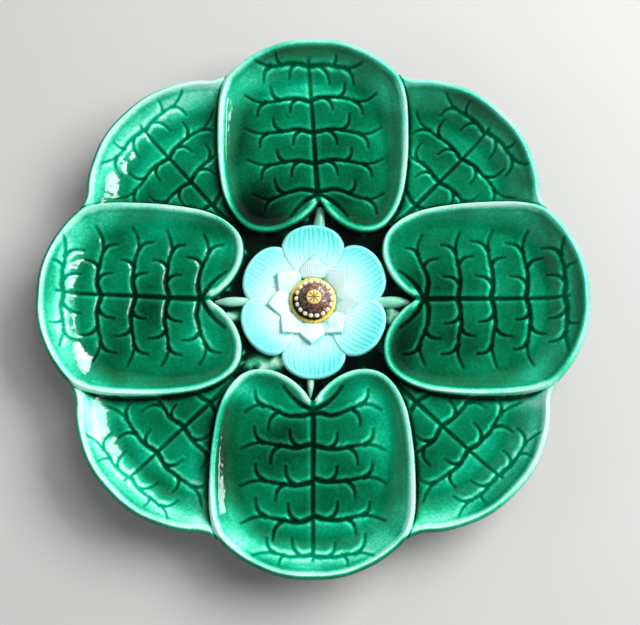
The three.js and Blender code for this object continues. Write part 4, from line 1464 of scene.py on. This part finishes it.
# %% Collar and disc of the seed head
dome_radius = 8.1
dome_height = 5.7
dome_seat = well_top + 2.6
dome_sink = 0.6
dome_reach_degrees = 66
disc_radius = 3.2
disc_thickness = 0.7
flute_count, flute_depth, flute_fades = 30, 0.3, (8.6, 9.6)
disc_notch_count, disc_notch_depth, disc_notch_fades = 24, 0.18, (2.4, 3.1)
collar_segments, dome_segments, disc_segments = 240, 160, 120
head_shift = Vector((0.6, 0.1, 0))


def off_centre(piece):
    piece.data.transform(Matrix.Translation(head_shift * millimetre))
    return piece


collar_profile = [
    (0, well_top), (collar_radius - 0.2, well_top), (collar_radius, well_top + 0.8),
    (collar_radius, well_top + 1.5), (collar_radius - 0.15, well_top + 2.1),
    (collar_radius - 0.45, well_top + 2.35), (9.2, well_top + 2.4),
    *[(radius, well_top + 2.3) for radius in (8.6, 8.3, 8.0, 7.7, 7.4, 7.0, 0)],
]
collar = thrown(
    "seed_collar_glazed", collar_profile, collar_segments, yellow_glaze, flute_count, flute_depth,
    fades=flute_fades,
)
finish_piece(collar, yellow_glaze, "yellow_glaze", "seed_collar")
dome_angles = np.radians(np.linspace(0, dome_reach_degrees, 20))
dome_profile = [(0, dome_seat - dome_sink), (dome_radius, dome_seat - dome_sink)]
dome_profile += [(dome_radius * math.cos(a), dome_seat + dome_height * math.sin(a)) for a in dome_angles]
disc_seat = dome_profile[-1][1]
dome_profile += [(0, disc_seat)]
dome = thrown("seed_dome_turned", dome_profile, dome_segments, brown_glaze)
disc_top = disc_seat + disc_thickness
disc_profile = [
    (0, disc_seat - 0.3), (disc_radius, disc_seat - 0.3), (disc_radius, disc_seat + 0.25),
    (disc_radius - 0.15, disc_top - 0.15), (disc_radius - 0.5, disc_top), (1.6, disc_top + 0.1),
    (0, disc_top + 0.15),
]
disc = thrown(
    "star_disc_glazed", disc_profile, disc_segments, disc_glaze, disc_notch_count, disc_notch_depth,
    fades=disc_notch_fades,
)
finish_piece(off_centre(disc), disc_glaze, "yellow_glaze", "star_disc")
print("seed head top", round(disc_top, 2), "mm")

# %% [markdown]
# Cream beads stand in a ring on the dome's shoulder, and thin brown rays lie on the disc as a star. Both are
# round forms on a circle, stretched along its spokes, so one tree makes both: it puts one small ball on each
# point of a circle and turns it outwards. Placing them by hand would be slower and less even.

# %% Beads in a ring, rays on the disc
bead_count = 18
bead_radius = 1.0
bead_circle_radius = 7.35
ray_count, ray_circle_radius, ray_lift = 8, 1.3, 0.08
ray_halves = (1.5, 0.2, 0.24)


def ring_tree():
    """Round forms on a circle, stretched along its spokes."""
    ring = Recipe("ring_of_beads")
    count = ring.sizes("Int", "Count")[0]
    circle_radius, height = ring.sizes("Float", "Circle Radius", "Height")
    halves = ring.sizes("Float", "Half Length", "Half Width", "Half Height")
    circle = ring.add("GeometryNodeMeshCircle", {"Vertices": count, "Radius": circle_radius})["Mesh"]
    raised = ring.add("GeometryNodeSetPosition", {"Geometry": circle, "Offset": ring.together(Z=height)})[0]
    bead = ring.add("GeometryNodeMeshUVSphere", {"Segments": 20, "Rings": 12, "Radius": 1.0})["Mesh"]
    share = ring.maths("DIVIDE", ring.add("GeometryNodeInputIndex", {})[0], count)
    spin = ring.together(Z=ring.maths("MULTIPLY", share, 2 * math.pi))
    turn_by = ring.add("FunctionNodeEulerToRotation", {0: spin})[0]
    scale = ring.together(**dict(zip("XYZ", halves)))
    set_beads = {"Points": raised, "Instance": bead, "Rotation": turn_by, "Scale": scale}
    ring.close(ring.add("GeometryNodeInstanceOnPoints", set_beads)[0])
    return ring


ring_of_beads = ring_tree()


def ring_piece(name, count, circle_radius, height, halves, material):
    lengths = {"Circle Radius": circle_radius, "Height": height}
    lengths.update(zip(("Half Length", "Half Width", "Half Height"), halves))
    sizes = {key: value * millimetre for key, value in lengths.items()}
    return ring_of_beads.run(name, bpy.data.meshes.new(name), {**sizes, "Count": count, "Glaze": material})


bead_height = dome_seat + dome_height * math.sqrt(max(0, 1 - (bead_circle_radius / dome_radius) ** 2))
bead_halves = [bead_radius] * 3
beads = ring_piece("bead_ring_glazed", bead_count, bead_circle_radius, bead_height, bead_halves, cream_glaze)
finish_piece(off_centre(beads), cream_glaze, "cream_glaze", "bead_ring")
rays = ring_piece("star_glazed", ray_count, ray_circle_radius, disc_top + ray_lift, ray_halves, rust_glaze)
finish_piece(off_centre(rays), rust_glaze, "brown_glaze", "star")

# %% [markdown]
# The dome was dabbed with a stiff brush, which left it rough. A noise bump would do from afar, but the
# roughness shows at the dome's outline too. So a tree scatters small round grains over the ring between disc
# and beads, with a fixed seed, and joins them to the dome.

# %% Stipple on the dome
grains_for_each_square_millimetre = 3.2
grain_radius = 0.24
smallest_grain, largest_grain = 0.6, 1.3
stipple_from, stipple_to = 3.2, 6.3


def stipple_tree():
    stipple = Recipe("stippled_dome")
    density, inner, outer = stipple.sizes("Float", "Density", "Inner Radius", "Outer Radius")
    grain = stipple.sizes("Float", "Grain Radius")[0]
    place = stipple.apart(stipple.position())
    squares = [stipple.maths("MULTIPLY", place[axis], place[axis]) for axis in ("X", "Y")]
    radius = stipple.maths("SQRT", stipple.maths("ADD", *squares))
    past = stipple.maths("GREATER_THAN", radius, inner)
    within = stipple.maths("LESS_THAN", radius, outer)
    shown = stipple.maths("MULTIPLY", past, within)
    scatter = {"Mesh": stipple.geometry, "Selection": shown, "Density": density, "Seed": 4}
    points = stipple.add("GeometryNodeDistributePointsOnFaces", scatter)["Points"]
    drop = stipple.add("GeometryNodeMeshIcoSphere", {"Radius": grain, "Subdivisions": 2})["Mesh"]
    chance = {2: smallest_grain, 3: largest_grain, "Seed": 9}
    spread = stipple.add("FunctionNodeRandomValue", chance, data_type="FLOAT")[1]
    set_grains = {"Points": points, "Instance": drop, "Scale": spread}
    grains = stipple.add("GeometryNodeInstanceOnPoints", set_grains)[0]
    both = stipple.node("GeometryNodeJoinGeometry", {})
    for part in (stipple.geometry, grains):
        stipple.tree.links.new(part, both.inputs[0])
    stipple.close(both.outputs[0])
    return stipple


dome_mesh = dome.data
bpy.data.objects.remove(dome)
stippled = stipple_tree().run("seed_dome_glazed", dome_mesh, {
    "Density": grains_for_each_square_millimetre / millimetre**2,
    "Inner Radius": stipple_from * millimetre,
    "Outer Radius": stipple_to * millimetre,
    "Grain Radius": grain_radius * millimetre,
    "Glaze": brown_glaze,
})
finish_piece(off_centre(stippled), brown_glaze, "brown_glaze", "seed_dome")

# %% [markdown]
# A stalk is a short round rod on a straight path, from the flower to the notch of its pad. A bent and scaled
# cylinder would do, but a sweep keeps its width easy to change. A tree sweeps a circle along the path and
# swells it by a curve of widths, full at the flower or in the middle and thin at the notch.

# %% Stalks
stalk_start = 24
stalk_lift = 0.4
notch_gap = 1


def stalk_tree(name, widths):
    stalk = Recipe(name)
    inner, outer, height, half = stalk.sizes("Float", "Inner Radius", "Outer Radius", "Height", "Half Width")
    start, end = stalk.together(X=inner, Z=height), stalk.together(X=outer, Z=height)
    line = stalk.add("GeometryNodeCurvePrimitiveLine", {"Start": start, "End": end})[0]
    fine = stalk.add("GeometryNodeResampleCurve", {"Curve": line, "Count": 60})[0]
    share = stalk.add("GeometryNodeSplineParameter", {})["Factor"]
    swell = stalk.node("ShaderNodeFloatCurve", {"Value": share})
    curve = swell.mapping.curves[0]
    for point, (at, width) in zip(curve.points, (widths[0], widths[-1])):
        point.location = (at, width)
    for at, width in widths[1:-1]:
        curve.points.new(at, width)
    swell.mapping.update()
    size = stalk.maths("MULTIPLY", swell.outputs[0], half)
    circle = stalk.add("GeometryNodeCurvePrimitiveCircle", {"Resolution": 36, "Radius": 1.0})[0]
    sweep = {"Curve": fine, "Profile Curve": circle, "Scale": size, "Fill Caps": True}
    stalk.close(stalk.add("GeometryNodeCurveToMesh", sweep)[0])
    return stalk


# The widths along a stalk, as shares of its full width.
spindle = [(0, 0.75), (0.35, 0.9), (0.6, 1), (0.85, 0.66), (1, 0.2)]
wedge = [(0, 1), (0.45, 1), (0.6, 0.92), (0.85, 0.72), (1, 0.55)]
# Name, turn on the plate, full width, and the widths along it.
stalks = [
    ("stalk_right", -1.0, 5.0, spindle),
    ("stalk_top", 85.4, 5.4, wedge),
    ("stalk_left", 180.5, 4.3, spindle),
    ("stalk_bottom", 268.6, 3.0, spindle),
]
for name, degrees, width, widths in stalks:
    rod = stalk_tree(name + "_sweep", widths).run(name + "_glazed", bpy.data.meshes.new(name), {
        "Inner Radius": stalk_start * millimetre,
        "Outer Radius": (notch_radius - notch_gap) * millimetre,
        "Height": (well_top + stalk_lift) * millimetre,
        "Half Width": width / 2 * millimetre,
        "Glaze": mint_glaze,
    })
    rod.data.transform(Matrix.Rotation(math.radians(degrees), 4, "Z"))
    finish_piece(rod, mint_glaze, "mint_glaze", name)

# %% [markdown]
# The window shows as broad patches on the left side of the plate. The front pads at the top and the bottom
# are gentler at their left sides, and mirror it only as a thin line close to the crest, from a low pane. The
# lower left pad behind mirrors a pane of its own. The upper left one behind mirrors only the first pane, and
# the three pads on the right mirror none. Light linking tells each pane which pieces mirror it.

# %% Which pieces mirror which pane
narrow_mirrors = {"lily_pad_top_glazed", "lily_pad_bottom_glazed"}
corner_mirrors = {"back_pad_lower_left_glazed"}
dull_pads = {"lily_pad_right_glazed", "back_pad_upper_right_glazed", "back_pad_lower_right_glazed"}
shiny = {piece.name for piece in dressed} - narrow_mirrors - corner_mirrors - dull_pads
for window_part, mirrors in (
    (panes[:1], shiny), (panes[1:], shiny - {"back_pad_upper_left_glazed"}),
    ([low_pane], narrow_mirrors), ([corner_pane], corner_mirrors),
):
    group = bpy.data.collections.new("mirrors_of_" + window_part[0].name)
    for piece in dressed:
        if piece.name in mirrors:
            group.objects.link(piece)
    for pane in window_part:
        pane.light_linking.receiver_collection = group
